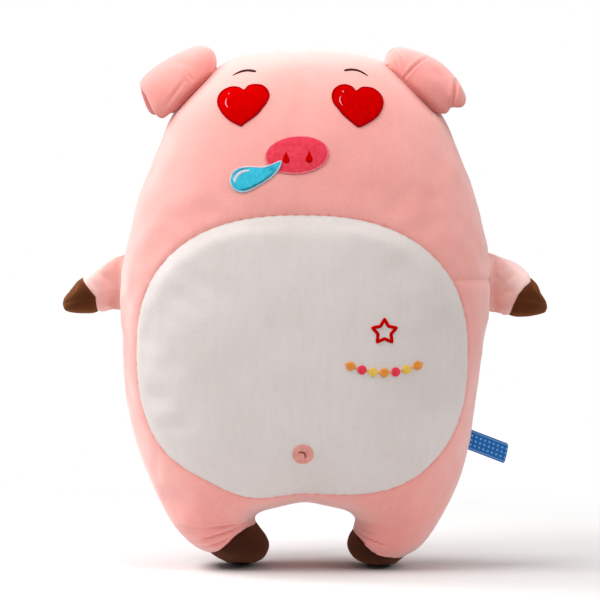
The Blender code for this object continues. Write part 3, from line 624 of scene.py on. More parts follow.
grooves = {  # depth and width of the seam notches
    "side": (0.0022, 0.0042), "belly": (0.0012, 0.0026), "level": (0.0011, 0.0022),
    "hoof": (0.0016, 0.0028), "back": (0.0017, 0.0036), "centre": (0.0010, 0.0022),
}
bodyMarks = {
    "pucker": 0.22,  # share by which the seams' depth wavers
    "lumps": 0.0005, "lumpSize": 0.021,
    "calmHeight": 0.012,  # the fabric lies even this close to the floor and around the crotch
    "calmHalf": 0.055, "calmFade": 0.020,
    # Beside the ears' rest the head gets a slight dent and painted shade.
    "earLow": 0.41, "earReach": 0.0070, "earDepth": 0.0004,  # the ears' rest on the head
    "legShade": 0.46, "legTop": 0.13, "legFade": 0.09,  # painted shade, darker towards the bottom of the legs
}


# All relief on the body at places (x, y, z): how far the fabric stands out, and how much shade is
# painted into its colour, from 0 to 1: in seams and folds, beside the ears and low on the legs.
def bodyRelief(x, y, z, side, swelling):
    front = side < 0
    shown = x + sway(x, z)
    earGap = np.minimum(*[awayFrom(line, shown, z) for line in earRest])
    # Painted shade and a slight dent on the head beside the resting ears.
    earDentAndShade = np.where(front & (z > bodyMarks["earLow"]),
                        bell(earGap / bodyMarks["earReach"]), 0.0)
    across = acrossShare(x, z)
    out = np.where(front, readBody(swelling[-1], across, z), readBody(swelling[1], across, z))
    belly = bellyDistance(x, z)
    gaps = {
        "side": np.abs(y),
        "belly": np.where(front, np.abs(belly), 1.0),
        "level": np.where(front & (belly > -1e-6), np.abs(levelDistance(x, z)), 1.0),
        "hoof": np.where(z < crotch, np.abs(hoofDistance(x, z)), 1.0),
        "back": np.where(~front & (z > crotch), np.abs(x), 1.0),
        "centre": np.where(front & (belly > -1e-6) & (z < 0.12), np.abs(x), 1.0),
    }
    waves = np.sin(x * 610 + 2 * np.sin(z * 290)), np.sin(z * 560 + y * 480 + 1.7)
    pucker = 1 + bodyMarks["pucker"] * waves[0] * waves[1]
    notch, calm, folds = np.zeros(x.shape), np.ones(x.shape), np.zeros(x.shape)
    for name, gap in gaps.items():
        depth, width = grooves[name]
        share = np.where(x < 0, 0.1, 1.0) if name == "level" else 1.0
        notch = np.maximum(notch, share * depth * np.exp(-gap / width) * pucker)
        calm = np.minimum(calm, 1 - share * bell(gap / (3 * width)))
    for fold in legFolds:
        folds += np.where(front, foldRelief(shown, z, fold), 0.0)
    height, fade = bodyMarks["calmHeight"], bodyMarks["calmFade"]
    arch = clamp((crotch + height - z) / height)
    arch = arch * clamp((bodyMarks["calmHalf"] - np.abs(x)) / fade)
    floor = clamp(z / height) * (1 - arch)
    bumps = bodyMarks["lumps"] * lumps(x, y, z, bodyMarks["lumpSize"])
    out = out * calm * floor + bumps * calm * floor - notch * floor + folds
    out = out - bodyMarks["earDepth"] * earDentAndShade
    # Painted shade: the colour darkens in the seam grooves and the folds.
    hollow = clamp(notch / 0.0016) ** 1.5 * 0.8 + clamp(-folds / 0.0010) * 0.66
    # Painted shade on the legs: darker towards the floor and away from the middle.
    pile = bodyMarks["legShade"] * clamp((bodyMarks["legTop"] - z) / bodyMarks["legFade"])
    pile = pile * clamp(np.abs(x) / bodyMarks["legFade"])
    return out, clamp(np.maximum(np.maximum(hollow, pile), 0.80 * earDentAndShade))


swelling = bodySwelling()
sideOfPoint = np.where(skinPoints[:, 1] <= 0, -1.0, 1.0)
stand, hollows = bodyRelief(*skinPoints.T, sideOfPoint, swelling)
wornPoints = skinPoints + pointNormals(skinPoints, skinTriangles) * stand[:, None]
wornPoints[:, 0] += sway(skinPoints[:, 0], skinPoints[:, 2])
wornPoints[:, 2] += toeRise(*skinPoints.T)
wornPoints[:, [0, 2]] += nudged(skinPoints[:, 0], skinPoints[:, 2])
print("body relief from", round(stand.min() * 1000, 2), "to", round(stand.max() * 1000, 2), "mm")


# Colours are written as the eye reads them and turned to the linear values that light adds up in.
def linear(colour):
    parts = np.array([int(colour[i:i + 2], 16) for i in (1, 3, 5)]) / 255
    return (*np.where(parts <= 0.04045, parts / 12.92, ((parts + 0.055) / 1.055) ** 2.4), 1.0)


# Values for a node's inputs. A socket is linked instead.
def setInputs(tree, node, inputs):
    for name, value in inputs.items():
        if isinstance(value, bpy.types.NodeSocket):
            tree.links.new(value, node.inputs[name])
        else:
            node.inputs[name].default_value = value


def addNode(tree, kind, settings=None, inputs=None):
    made = tree.nodes.new("ShaderNode" + kind)
    for name, value in (settings or {}).items():
        setattr(made, name, value)
    setInputs(tree, made, inputs or {})
    return made


def newMaterial(name):
    material = bpy.data.materials.new(name)
    material.use_nodes = True
    tree = material.node_tree
    tree.nodes.clear()
    shader = addNode(tree, "BsdfPrincipled")
    addNode(tree, "OutputMaterial", inputs={"Surface": shader.outputs["BSDF"]})
    return material, tree, shader


# Short-pile polyester plush, sheared to about 1.5 mm. The pile catches light at grazing angles, so
# edges look paler. Shade is painted into hollows: a point attribute turns the colour to the deep
# tone, and in the deepest creases to a crease-shade colour. Real fibres are 0.02 mm, so the speckle
# is drawn at tufts of about 1.4 mm.
def plush(name, light, deep, sheen=0.75, tuft=0.0014, tuftContrast=0.10, creaseShade=None,
          tint=(1.0, 0.97, 0.96)):
    material, tree, shader = newMaterial(name)
    spot = addNode(tree, "TexCoord").outputs["Object"]
    patch = addNode(tree, "TexNoise", inputs={
        "Vector": spot, "Scale": 1 / 0.055, "Detail": 2.0, "Roughness": 0.5})
    pile = addNode(tree, "TexNoise", inputs={
        "Vector": spot, "Scale": 1 / tuft, "Detail": 2.0, "Roughness": 0.6})
    brushed = addNode(tree, "Mapping", inputs={"Vector": spot, "Scale": (1.0, 1.0, 0.22)})
    nap = addNode(tree, "TexNoise", inputs={
        "Vector": brushed.outputs["Vector"], "Scale": 1 / 0.006, "Detail": 3.0, "Roughness": 0.55})
    hollow = addNode(tree, "Attribute", {"attribute_name": "hollow"})
    mottle = addNode(tree, "Math", {"operation": "MULTIPLY_ADD"},
                     {0: patch.outputs["Fac"], 1: 0.5, 2: -0.10})
    # Painted shade: the tone darkens by the larger of a slow random mottle and the shade attribute.
    depth = addNode(tree, "Math", {"operation": "MAXIMUM"},
                    {0: mottle.outputs[0], 1: hollow.outputs["Fac"]})
    tone = addNode(tree, "Mix", {"data_type": "RGBA"},
                   {"Factor": depth.outputs[0], "A": linear(light), "B": linear(deep)})
    # Painted shade: deep in creases the colour turns further to the crease-shade colour.
    inCreaseShade = addNode(tree, "MapRange", inputs={
        "Value": hollow.outputs["Fac"], "From Min": 0.45, "From Max": 1.0})
    tone = addNode(tree, "Mix", {"data_type": "RGBA"},
                   {"Factor": inCreaseShade.outputs["Result"], "A": tone.outputs["Result"],
                    "B": linear(creaseShade or deep)})
    speckle = addNode(tree, "MapRange", inputs={
        "Value": pile.outputs["Fac"], "From Min": 0.3, "From Max": 0.7,
        "To Min": 1 - tuftContrast, "To Max": 1.0})
    streak = addNode(tree, "MapRange", inputs={
        "Value": nap.outputs["Fac"], "From Min": 0.3, "From Max": 0.7,
        "To Min": 0.965, "To Max": 1.0})
    both = addNode(tree, "Math", {"operation": "MULTIPLY"},
                   {0: speckle.outputs["Result"], 1: streak.outputs["Result"]})
    shade = addNode(tree, "VectorMath", {"operation": "SCALE"},
                    {0: tone.outputs["Result"], "Scale": both.outputs[0]})
    bump = addNode(tree, "Bump", inputs={
        "Height": pile.outputs["Fac"], "Strength": 0.22, "Distance": 0.0006})
    setInputs(tree, shader, {
        "Base Color": shade.outputs["Vector"], "Normal": bump.outputs["Normal"],
        "Roughness": 0.92, "Specular IOR Level": 0.12, "Sheen Weight": sheen,
        "Sheen Roughness": 0.65, "Sheen Tint": (*tint, 1.0)})
    return material


materials = {
    # Crease-shade colours are painted shade in seams, folds and creases.
    "pinkPlush": plush("shearedPlushPink", "#F9A8A0", "#E97C71", creaseShade="#D03A2A"),
    "creamPlush": plush("shearedPlushCream", "#E2DAD8", "#C6B7B0", sheen=0.35, tuftContrast=0.06),
    "brownPlush": plush("shearedPlushBrown", "#55270F", "#260E04", sheen=0.8, tuftContrast=0.3,
                        tint=(0.42, 0.17, 0.06)),
    # The feet: a darker copy of the brown plush, painted shade.
    "footShadedPlush": plush("shearedPlushBrownFootShaded", "#381807", "#1C0A03", sheen=0.6, tuftContrast=0.3,
                       tint=(0.36, 0.13, 0.07)),
}


def setAttribute(mesh, name, values):
    made = mesh.attributes.new(name, "FLOAT", "POINT")
    made.data.foreach_set("value", values.astype(np.float32))


# Puts points and faces into a piece that rides on a body, if one is named. The colour darkens
# with the painted shade given for each point.
def newPiece(name, points, faces, body, material, hollow=None, wall=0.0):
    mesh = newMesh(name, points, faces)
    mesh.shade_smooth()
    if hollow is not None:
        setAttribute(mesh, "hollow", hollow)
    mesh.materials.append(materials[material])
    piece = newObject(name, mesh)
    if wall > 0:
        edgeOf = np.empty(len(mesh.loops), np.int32)
        mesh.loops.foreach_get("edge_index", edgeOf)
        border = np.bincount(edgeOf, minlength=len(mesh.edges)) == 1
        mesh.attributes.new("sharp_edge", "BOOLEAN", "EDGE").data.foreach_set("value", border)
        shell = piece.modifiers.new("fabric", "SOLIDIFY")
        shell.thickness = wall
        shell.offset = -1
        shell.use_rim = True
    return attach(piece, body) if body else piece


# Cuts the faces that a mask names out of a set of points.
def cutOut(points, triangles, mask, hollow):
    used, inverse = np.unique(triangles[mask], return_inverse=True)
    return points[used], inverse.reshape(-1, 3), hollow[used]


# Signed distance to a seam, added up over each triangle. Points on the seam count as 0.
def regionSide(field, on, points, triangles):
    value = np.where(on, 0.0, field(points[:, 0], points[:, 2]))
    return value[triangles].sum(1)


def bodyCovers():
    inBelly = regionSide(bellyDistance, onSeam["belly"], skinPoints, skinTriangles) < 0
    above = regionSide(levelDistance, onSeam["level"], skinPoints, skinTriangles) > 0
    middle = skinPoints[skinTriangles].mean(1)
    inHoof = regionSide(hoofDistance, onSeam["hoof"], skinPoints, skinTriangles) < 0
    inHoof &= middle[:, 2] < crotch
    front, left = triangleSides < 0, middle[:, 0] < 0
    low = front & ~inBelly & ~above & ~inHoof
    covers = [
        ("faceCover", front & ~inBelly & above, "pinkPlush", ("face_panel", "torso_stuffing")),
        ("bellyCover", front & inBelly & ~inHoof, "creamPlush", ("belly_panel",)),
    ]
    for name, mask, material, nodes in (
            ("lowerCover", low, "pinkPlush", ("lower_front", "leg_stuffing")),
            ("backCover", ~front & ~inHoof, "pinkPlush", ("back_panel",)),
            ("hoofFront", front & inHoof, "footShadedPlush", ("foot_hoof_front",)),
            ("hoofBack", ~front & inHoof, "footShadedPlush", ("foot_hoof_back",))):
        for side, hand, lower in hands:
            half = mask & (left if hand < 0 else ~left)
            covers.append((name + side, half, material, [f"{node}_{lower}" for node in nodes]))
    for name, mask, material, nodes in covers:
        points, faces, hollow = cutOut(wornPoints, skinTriangles, mask, hollows)
        piece = newPiece(name, points, faces, "torso", material, hollow, wall=0.0018)
        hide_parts(*nodes)


bodyCovers()
print("body covers made")


# Satin stitching in polyester thread: fine parallel ridges with a soft shine. Real threads are
# 0.4 mm apart, too fine to show, so the ridges are drawn at about twice that.
def stitching(name, light, deep, sheen=0.03, shine=0.05, gap=0.0009):
    material, tree, shader = newMaterial(name)
    way = addNode(tree, "Attribute", {"attribute_name": "thread"})
    spot = addNode(tree, "TexCoord").outputs["Object"]
    uneven = addNode(tree, "TexNoise", inputs={
        "Vector": spot, "Scale": 1 / 0.004, "Detail": 2.0, "Roughness": 0.6})
    turns = addNode(tree, "Math", {"operation": "MULTIPLY_ADD"},
                    {0: way.outputs["Fac"], 1: 2 * pi / gap, 2: uneven.outputs["Fac"]})
    ridge = addNode(tree, "Math", {"operation": "SINE"}, {0: turns.outputs[0]})
    fleck = addNode(tree, "Math", {"operation": "MULTIPLY_ADD"},
                    {0: ridge.outputs[0], 1: 0.16, 2: uneven.outputs["Fac"]})
    share = addNode(tree, "MapRange", inputs={
        "Value": fleck.outputs[0], "From Min": 0.2, "From Max": 0.75})
    tone = addNode(tree, "Mix", {"data_type": "RGBA"},
                   {"Factor": share.outputs["Result"], "A": linear(deep), "B": linear(light)})
    bump = addNode(tree, "Bump", inputs={
        "Height": ridge.outputs[0], "Strength": 0.25, "Distance": 0.0003})
    setInputs(tree, shader, {
        "Base Color": tone.outputs["Result"], "Normal": bump.outputs["Normal"],
        "Roughness": 0.65, "Specular IOR Level": shine, "Sheen Weight": sheen})
    return material


ribbonPrint = {  # in metres across the ribbon, each pair from full to gone
    "cell": 0.0021,  # half the distance from dot to dot
    "dot": (0.0008, 0.0011), "dotsWithin": (0.0055, 0.0056),
    "lineAt": 0.0078, "line": (0.0002, 0.0005),
    "rib": 0.0006,
}


# Woven satin ribbon with a small repeating print: rows of dots between two thin lines. The print
# follows the ribbon's own UV map, in metres.
def ribbonSatin(name, ground, pale):
    material, tree, shader = newMaterial(name)
    flat = addNode(tree, "UVMap", {"uv_map": "ribbon"})
    parts = addNode(tree, "SeparateXYZ", inputs={"Vector": flat.outputs["UV"]})
    # the place is folded into one cell, where its distance is that from the nearest dot
    folded = {}
    for axis in ("X", "Y"):
        cell = addNode(tree, "Math", {"operation": "PINGPONG"},
                       {0: parts.outputs[axis], 1: ribbonPrint["cell"]})
        folded[axis] = cell.outputs[0]
    spot = addNode(tree, "CombineXYZ", inputs=folded)
    away = addNode(tree, "VectorMath", {"operation": "LENGTH"}, {0: spot.outputs["Vector"]})
    fromEdge = addNode(tree, "Math", {"operation": "ABSOLUTE"}, {0: parts.outputs["Y"]})
    offLine = addNode(tree, "Math", {"operation": "SUBTRACT"},
                      {0: fromEdge.outputs[0], 1: ribbonPrint["lineAt"]})
    lineGap = addNode(tree, "Math", {"operation": "ABSOLUTE"}, {0: offLine.outputs[0]})
    masks = []
    for value, mark, edge in ((away, "dot", "SMOOTHSTEP"), (lineGap, "line", "SMOOTHSTEP"),
                              (fromEdge, "dotsWithin", "LINEAR")):
        mask = addNode(tree, "MapRange", {"interpolation_type": edge}, {
            "Value": value.outputs["Value"], "From Min": ribbonPrint[mark][0],
            "From Max": ribbonPrint[mark][1], "To Min": 1.0, "To Max": 0.0})
        masks.append(mask.outputs["Result"])
    dots, lines, inside = masks
    keptDots = addNode(tree, "Math", {"operation": "MULTIPLY"}, {0: dots, 1: inside})
    printed = addNode(tree, "Math", {"operation": "MAXIMUM"},
                      {0: keptDots.outputs[0], 1: lines})
    weight = addNode(tree, "Math", {"operation": "MULTIPLY"}, {0: printed.outputs[0], 1: 0.5})
    tone = addNode(tree, "Mix", {"data_type": "RGBA"},
                   {"Factor": weight.outputs[0], "A": linear(ground), "B": linear(pale)})
    ribs = addNode(tree, "Math", {"operation": "MULTIPLY"},
                   {0: parts.outputs["X"], 1: 2 * pi / ribbonPrint["rib"]})
    wave = addNode(tree, "Math", {"operation": "SINE"}, {0: ribs.outputs[0]})
    bump = addNode(tree, "Bump", inputs={
        "Height": wave.outputs[0], "Strength": 0.12, "Distance": 0.0001})
    setInputs(tree, shader, {
        "Base Color": tone.outputs["Result"], "Normal": bump.outputs["Normal"],
        "Roughness": 0.38, "Specular IOR Level": 0.28, "Sheen Weight": 0.05})
    return material


threads = {  # name, colours of ridges and gaps, then sheen and shine where they aren't the usual
    "redThread": ("fillStitchRed", "#CE0100", "#B40002", 0.0, 0.0),
    "redBorder": ("satinStitchCrimson", "#B20210", "#8A010A", 0.0, 0.0),
    "paleThread": ("satinStitchPale", "#F3B9C0", "#E28E99"),
    "roseThread": ("fillStitchRose", "#F14A5E", "#DD2F45"),
    "roseRim": ("satinStitchBlush", "#F0828F", "#E16777"),
    "redDeep": ("fillStitchScarlet", "#CE0300", "#B00000", 0.0, 0.0),
    "blueThread": ("fillStitchBlue", "#46C8E4", "#24B0CC"),
    "blueRim": ("satinStitchIce", "#C9D9E6", "#9DB9CE"),
    "blueDeep": ("satinStitchTeal", "#2C93A6", "#14788C"),
    "whiteThread": ("satinStitchWhite", "#DFE6F2", "#BCCBE2"),
    "darkThread": ("satinStitchBlack", "#43332F", "#2A1E1C", 0.05),
    "navelThread": ("fillStitchPeach", "#E8A79C", "#D0877C"),
    "navelDeep": ("satinStitchBrick", "#B05C53", "#8E4139"),
    "orangeThread": ("satinStitchOrange", "#F0A24E", "#DB8030"),
    "yellowThread": ("satinStitchYellow", "#F3D06A", "#DDB146"),
}
for name, thread in threads.items():
    materials[name] = stitching(*thread)
materials["ribbon"] = ribbonSatin("satinRibbonBlue", "#006CBE", "#BCD2E6")


# A closed surface from a grid of points whose columns run round. The first and last rows shrink to
# points, or the rows close into a ring. Turned outwards by its own volume.
def shell(grid, ring=False):
    rows, columns = grid.shape[:2]
    index = np.arange(rows * columns).reshape(rows, columns)
    if not ring:
        index[0], index[-1] = index[0, 0], index[-1, 0]
    near = index if ring else index[:-1]
    far = np.roll(index, -1, 0) if ring else index[1:]
    quads = np.stack([near, far, np.roll(far, -1, 1), np.roll(near, -1, 1)], -1).reshape(-1, 4)
    triangles = np.vstack([quads[:, [0, 1, 2]], quads[:, [0, 2, 3]]])
    triangles = triangles[isWhole(triangles)]
    used, inverse = np.unique(triangles, return_inverse=True)
    points, triangles = grid.reshape(-1, 3)[used], inverse.reshape(-1, 3)
    p, q, r = [points[triangles[:, k]] - points.mean(0) for k in range(3)]
    if np.einsum("ij,ij->", p, np.cross(q, r)) < 0:
        triangles = triangles[:, ::-1]
    return points, triangles, used


# Place on the dressed front of the body at (x, z), lifted off the fabric along its normal.
def onFront(x, z, lift):
    side = np.full(np.shape(x), -1.0)
    even = x - sway(x - sway(x, z), z)
    y = skinY(even, z, side)
    normal = skinNormal(even, z, side)
    out, _ = bodyRelief(even, y, z, side, swelling)
    return np.stack([x, y, z], -1) + normal * (out + lift)[..., None]


stitches = {
    "rings": (0.0, 0.2, 0.4, 0.6, 0.75, 0.86, 0.93, 0.97, 0.99, 1.0, 0.93, 0.5, 0.0),
    "edge": -0.0002, "under": -0.0006,  # the edge and the underside of a patch lie in the fabric
    "deep": 0.0005,  # and so does the lower half of a stitched line
}


# A filled shape of stitches: rings shrink from the outline to its middle, with a flat top that
# rolls down at the edge.
def fillPatch(name, outline, middle, height, material, slant=0.0, base=0.0):
    ring = np.array(stitches["rings"])
    lift = (0.0 if callable(base) else base) + height * (1 - ring**10) ** 0.5
    edge = ring.argmax()
    lift[edge], lift[edge + 1:] = stitches["edge"], stitches["under"]
    middle = np.array(middle)
    spots = middle + ring[:, None, None] * (outline - middle)
    lift = np.broadcast_to(lift[:, None], spots.shape[:2])
    if callable(base):
        lift = lift + np.where(lift > 0, base(spots[..., 0], spots[..., 1]), 0.0)
    grid = onFront(spots[..., 0], spots[..., 1], lift)
    points, triangles, used = shell(grid)
    piece = newPiece(name, points, triangles, "torso", material)
    along = spots[..., 0] * math.cos(slant) + spots[..., 1] * math.sin(slant)
    setAttribute(piece.data, "thread", along.ravel()[used])
    return piece


# A quarter turn from a way, of length 1.
def acrossWay(way):
    along = unit(way)
    return np.stack([-along[:, 1], along[:, 0]], -1)


# A satin-stitched line: a low rounded profile carried along a path, with its stitches across.
def satinLine(name, line, half, height, material, ring=False, base=0.0, sides=12):
    line = np.asarray(line, float)
    half = np.broadcast_to(half, len(line))
    if ring:
        way = np.roll(line, -1, 0) - np.roll(line, 1, 0)
        walked = np.cumsum(np.linalg.norm(line - np.roll(line, 1, 0), axis=1))
    else:
        way = np.gradient(line, axis=0)
        walked = np.concatenate([[0], np.cumsum(np.linalg.norm(np.diff(line, axis=0), axis=1))])
    across = acrossWay(way)
    angle = ringAngles(sides)
    spots = line[:, None] + across[:, None] * (half[:, None] * np.cos(angle))[..., None]
    profile = np.sin(angle) * np.where(np.sin(angle) > 0, height, stitches["deep"])
    lift = profile * clamp(half / max(half.max(), 1e-9) * 1.6)[:, None]
    lift = lift + (base(spots[..., 0], spots[..., 1]) if callable(base) else base)
    points, triangles, used = shell(onFront(spots[..., 0], spots[..., 1], lift), ring)
    piece = newPiece(name, points, triangles, "torso", material)
    walked = np.broadcast_to(walked[:, None], spots.shape[:2])
    setAttribute(piece.data, "thread", walked.ravel()[used])
    return piece


# The outline drawn in by a distance, along its own normals.
def drawnIn(outline, distance):
    x, z = outline.T
    turn = 1.0 if np.sum(x * np.roll(z, -1) - np.roll(x, -1) * z) > 0 else -1.0
    way = np.roll(outline, -1, 0) - np.roll(outline, 1, 0)
    return outline + turn * distance * acrossWay(way)


# Places in metres from rows in millimetres about a middle, turned by an angle.
def placed(rows, middle, angle=0.0, scale=0.001):
    x, z = np.array(rows, float).T * scale
    return np.stack([middle[0] + x * math.cos(angle) - z * math.sin(angle),
                     middle[1] + x * math.sin(angle) + z * math.cos(angle)], -1)


face = {  # places in metres, shapes in millimetres about them
    "eyeLeft": ((-0.0566, 0.4369), (
        (21.6, 0), (24.2, 6.3), (22.7, 12.6), (17.6, 17.0), (10.2, 17.9), (4.6, 16.6), (0.9, 13.0),
        (-3.4, 15.3), (-9.1, 16.3), (-14.8, 15.1), (-20.1, 11.8), (-23.4, 6.3), (-23.8, 0),
        (-21.6, -5.7), (-18.4, -10.5), (-14.4, -14.6), (-10.0, -17.8), (-5.4, -20.2), (-1.7, -21.7),
        (1.0, -19.8), (4.8, -17.2), (8.4, -14.7), (12.0, -11.8), (15.1, -8.7), (18.0, -4.8))),
    "eyeRight": ((0.0492, 0.4366), (
        (23.4, 0), (22.5, 6.0), (19.2, 10.9), (14.4, 14.5), (8.9, 15.7), (3.0, 15.3), (-1.8, 12.1),
        (-5.0, 15.6), (-10.7, 17.9), (-16.8, 17.2), (-22.4, 13.2), (-24.3, 6.5), (-22.7, 0),
        (-19.0, -5.0), (-15.8, -9.3), (-12.5, -12.8), (-9.1, -15.9), (-5.0, -19.3), (-0.9, -22.6),
        (1.2, -22.6), (5.0, -21.0), (10.3, -18.1), (14.8, -14.9), (18.9, -10.9), (21.8, -5.8))),
    "glintLeft": (((-13.4, 8.6), (-12.9, 8.8), (-12.4, 8.6)),
                  ((-14.6, 4.6), (-15.6, 1.6), (-15.4, -1.4), (-13.8, -4.6))),
    "glintRight": (((-14.8, 11.4), (-14.0, 10.6), (-13.2, 9.6)),
                   ((-16.0, 6.4), (-17.0, 3.2), (-16.4, 0.2), (-14.0, -3.4))),
    "browLeft": ((-0.0558, 0.4658), (
        (-11.2, -1.6, 0.3), (-7.0, 0.6, 0.6), (-2.0, 2.4, 0.9), (3.0, 3.0, 1.0), (7.6, 2.5, 1.1),
        (10.8, 1.7, 0.8))),
    "browRight": ((0.0478, 0.4667), (
        (-11.2, 1.6, 0.8), (-7.4, 2.5, 1.0), (-2.8, 2.8, 0.9), (2.4, 1.8, 0.8), (7.0, -0.6, 0.6),
        (11.2, -3.4, 0.3))),
    "snout": ((-0.0069, 0.3877), 29.3, 17.8, 2.04, math.radians(5)),
    "rim": 0.9,
    "nostrils": ((-0.0169, 0.3832), (0.0041, 0.3838), 3.5, 8.6),
    "dropPlace": (-0.0543, 0.3655),
    "drop": ((33.0, 16.2), (31.8, 10.5), (26.3, 3.6), (19.2, -1.7), (12.2, -5.9),
             (5.1, -9.8), (-1.8, -11.8), (-8.2, -10.3), (-12.2, -6.1), (-13.7, -0.8), (-12.0, 4.8),
             (-8.2, 9.0), (-1.8, 11.2), (6.5, 11.4), (15.0, 11.0), (22.0, 12.2), (28.2, 14.8)),
    "dropShade": ((26.3, 6.1), (19.2, 0.4), (10.6, -4.9), (1.8, -8.8), (-4.4, -9.2)),
    "dropGlint": ((-9.0, -3.4), (-8.8, 1.2), (-5.9, 5.0), (-1.2, 7.2), (4.5, 8.0)),
    "dropLine": ((-10.4, 0.6), (-7.6, 5.6), (-2.4, 8.9), (3.2, 9.6)),
}


def ringAngles(count):
    return np.linspace(0, 2 * pi, count, endpoint=False)


def oval(halfWide, halfTall, count, power=1.0):
    angle = ringAngles(count)
    return np.stack([halfWide * signedPower(np.cos(angle), power),
                     halfTall * signedPower(np.sin(angle), power)], -1)


def teardrop(radius, length, steps=48, sharp=3):
    angle = pi * (2 * np.arange(steps) / steps - 1)
    c, s = np.cos(angle), np.sin(angle)
    pull = ((1 + c) / 2) ** sharp
    return np.stack([radius * c + (length - radius) * pull, radius * s * (1 - pull)], -1)


def strokeFrom(rows, middle):
    fine = smoothLine(rows, steps=8)
    fine[0, 2] = fine[-1, 2] = 0.0
    return placed(fine[:, :2], middle), fine[:, 2] * 0.001


def glint(name, rows, middle, width, material, base):
    line = smoothLine(rows, steps=8)
    share = np.linspace(0, 1, len(line))
    half = width * 0.001 * np.sin(pi * share) ** 0.6
    half[0] = half[-1] = 0.0
    return satinLine(name, placed(line, middle), half, 0.0004, material, base=base, sides=8)


# The drop is stitched over the snout, so it rises by the snout's thickness there.
def overSnout(x, z):
    middle, halfWide, halfTall = face["snout"][:3]
    reach = np.hypot((x - middle[0]) / halfWide, (z - middle[1]) / halfTall) * 1000
    return 0.0014 * clamp((1.12 - reach) / 0.12)


def makeFace():
    for hand, _, lower in hands:
        middle, rows = face["eye" + hand]
        outline = placed(smoothRing(rows, steps=6), middle)
        patch = fillPatch("heartFill" + hand, outline, middle, 0.0012, "redThread", slant=0.5)
        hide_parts(f"eye_{lower}")
        edge = satinLine("heartEdge" + hand, drawnIn(outline, 0.0007), 0.0008, 0.0014, "redBorder",
                         ring=True, sides=10)
        for number, mark in enumerate(face["glint" + hand]):
            glint(f"heartGlint{hand}{number}", mark, middle, 0.5, "paleThread", 0.0012)
        middle, rows = face["brow" + hand]
        line, half = strokeFrom(rows, middle)
        stroke = satinLine("browStroke" + hand, line, half, 0.0011, "darkThread")
        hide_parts(f"eyebrow_{lower}")

    middle, halfWide, halfTall, square, turned = face["snout"]
    outline = placed(oval(halfWide, halfTall, 96, 2 / square), middle, turned)
    patch = fillPatch("snoutFill", outline, middle, 0.0013, "roseThread")
    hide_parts("snout")
    rim = face["rim"] * 0.001
    satinLine("snoutRim", drawnIn(outline, rim), rim, 0.0012, "roseRim", ring=True)
    *spots, radius, length = face["nostrils"]
    for (hand, _, lower), spot in zip(hands, spots):
        outline = placed(teardrop(radius, length), spot, pi / 2)
        patch = fillPatch("nostrilFill" + hand, outline, spot, 0.0007, "redDeep", slant=pi / 2,
                          base=0.0012)
        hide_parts(f"nostril_{lower}")

    middle = face["dropPlace"]
    outline = placed(smoothRing(face["drop"], steps=6), middle)
    patch = fillPatch("dropFill", outline, middle, 0.0014, "blueThread", slant=1.9, base=overSnout)
    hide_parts("drop")
    satinLine("dropRim", drawnIn(outline, 0.0004), 0.0008, 0.0014, "blueRim", ring=True,
                      base=overSnout, sides=10)
    for name, width, thread, base in (("dropShade", 0.9, "blueDeep", 0.0014),
                                      ("dropLine", 0.7, "blueDeep", 0.0015),
                                      ("dropGlint", 2.0, "whiteThread", 0.0014)):
        glint(name, face[name], middle, width, thread, base)


makeFace()
print("face stitched")

belly = {
    "navel": ((-0.0015, 0.1147), 9.9),
    "star": ((0.0720, 0.2265), 13.0, 0.52, 1.5),  # place, radius, inner share, half of the line
    "garland": ((0.0720, 0.1978), 80.0, 8.5, 7, 4.2),  # place, width, sag, beads, bead radius
}


def makeBellyStitching():
    middle, radius = belly["navel"]
    disc = placed(oval(radius, radius * 0.97, 72), middle)
    patch = fillPatch("navelFill", disc, middle, 0.0012, "navelThread", slant=0.7)
    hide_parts("navel")
    line, half = strokeFrom(((-4.6, 1.4, 0.4), (-2.2, 2.6, 0.9), (0.8, 1.6, 1.1), (2.2, -1.0, 0.9),
                             (1.8, -3.4, 0.4)), middle)
    satinLine("navelCrease", line, half, 0.0003, "navelDeep", base=0.0012)

    middle, radius, inner, half = belly["star"]
    turn = np.arange(10) * pi / 5 + pi / 2
    reach = (radius - half) * np.where(np.arange(10) % 2 == 0, 1.0, inner + 0.02)
    corners = np.stack([reach * np.cos(turn), reach * np.sin(turn)], -1)
    t = np.linspace(0, 1, 9, endpoint=False)[None, :, None]
    ringLine = (corners[:, None] * (1 - t) + np.roll(corners, -1, 0)[:, None] * t).reshape(-1, 2)
    starLine = satinLine("starLine", placed(ringLine, middle), half * 0.001, 0.0012, "redThread",
                         ring=True)
    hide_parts("star")

    middle, width, sag, count, bead = belly["garland"]
    span = width - 2 * bead
    x = np.linspace(-0.5, 0.5, 121) * span
    z = -sag * (1 - (2 * x / span) ** 2)
    half = np.full(len(x), 0.0008)
    half[0] = half[-1] = 0.0
    string = satinLine("garlandThread", placed(np.stack([x, z], -1), middle), half, 0.0009,
                       "orangeThread")
    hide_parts("garland")
    for number in range(count):
        at = (number - (count - 1) / 2) * span / count
        spot = (middle[0] + at * 0.001, middle[1] - sag * 0.001 * (1 - (2 * at / span) ** 2))
        disc = placed(oval(bead, bead, 36), spot)
        thread = ("orangeThread", "roseThread", "yellowThread")[number % 3]
        patch = fillPatch(f"garlandBead{number + 1}", disc, spot, 0.0014, thread,
                          slant=number * 0.9)


makeBellyStitching()
print("belly stitched")

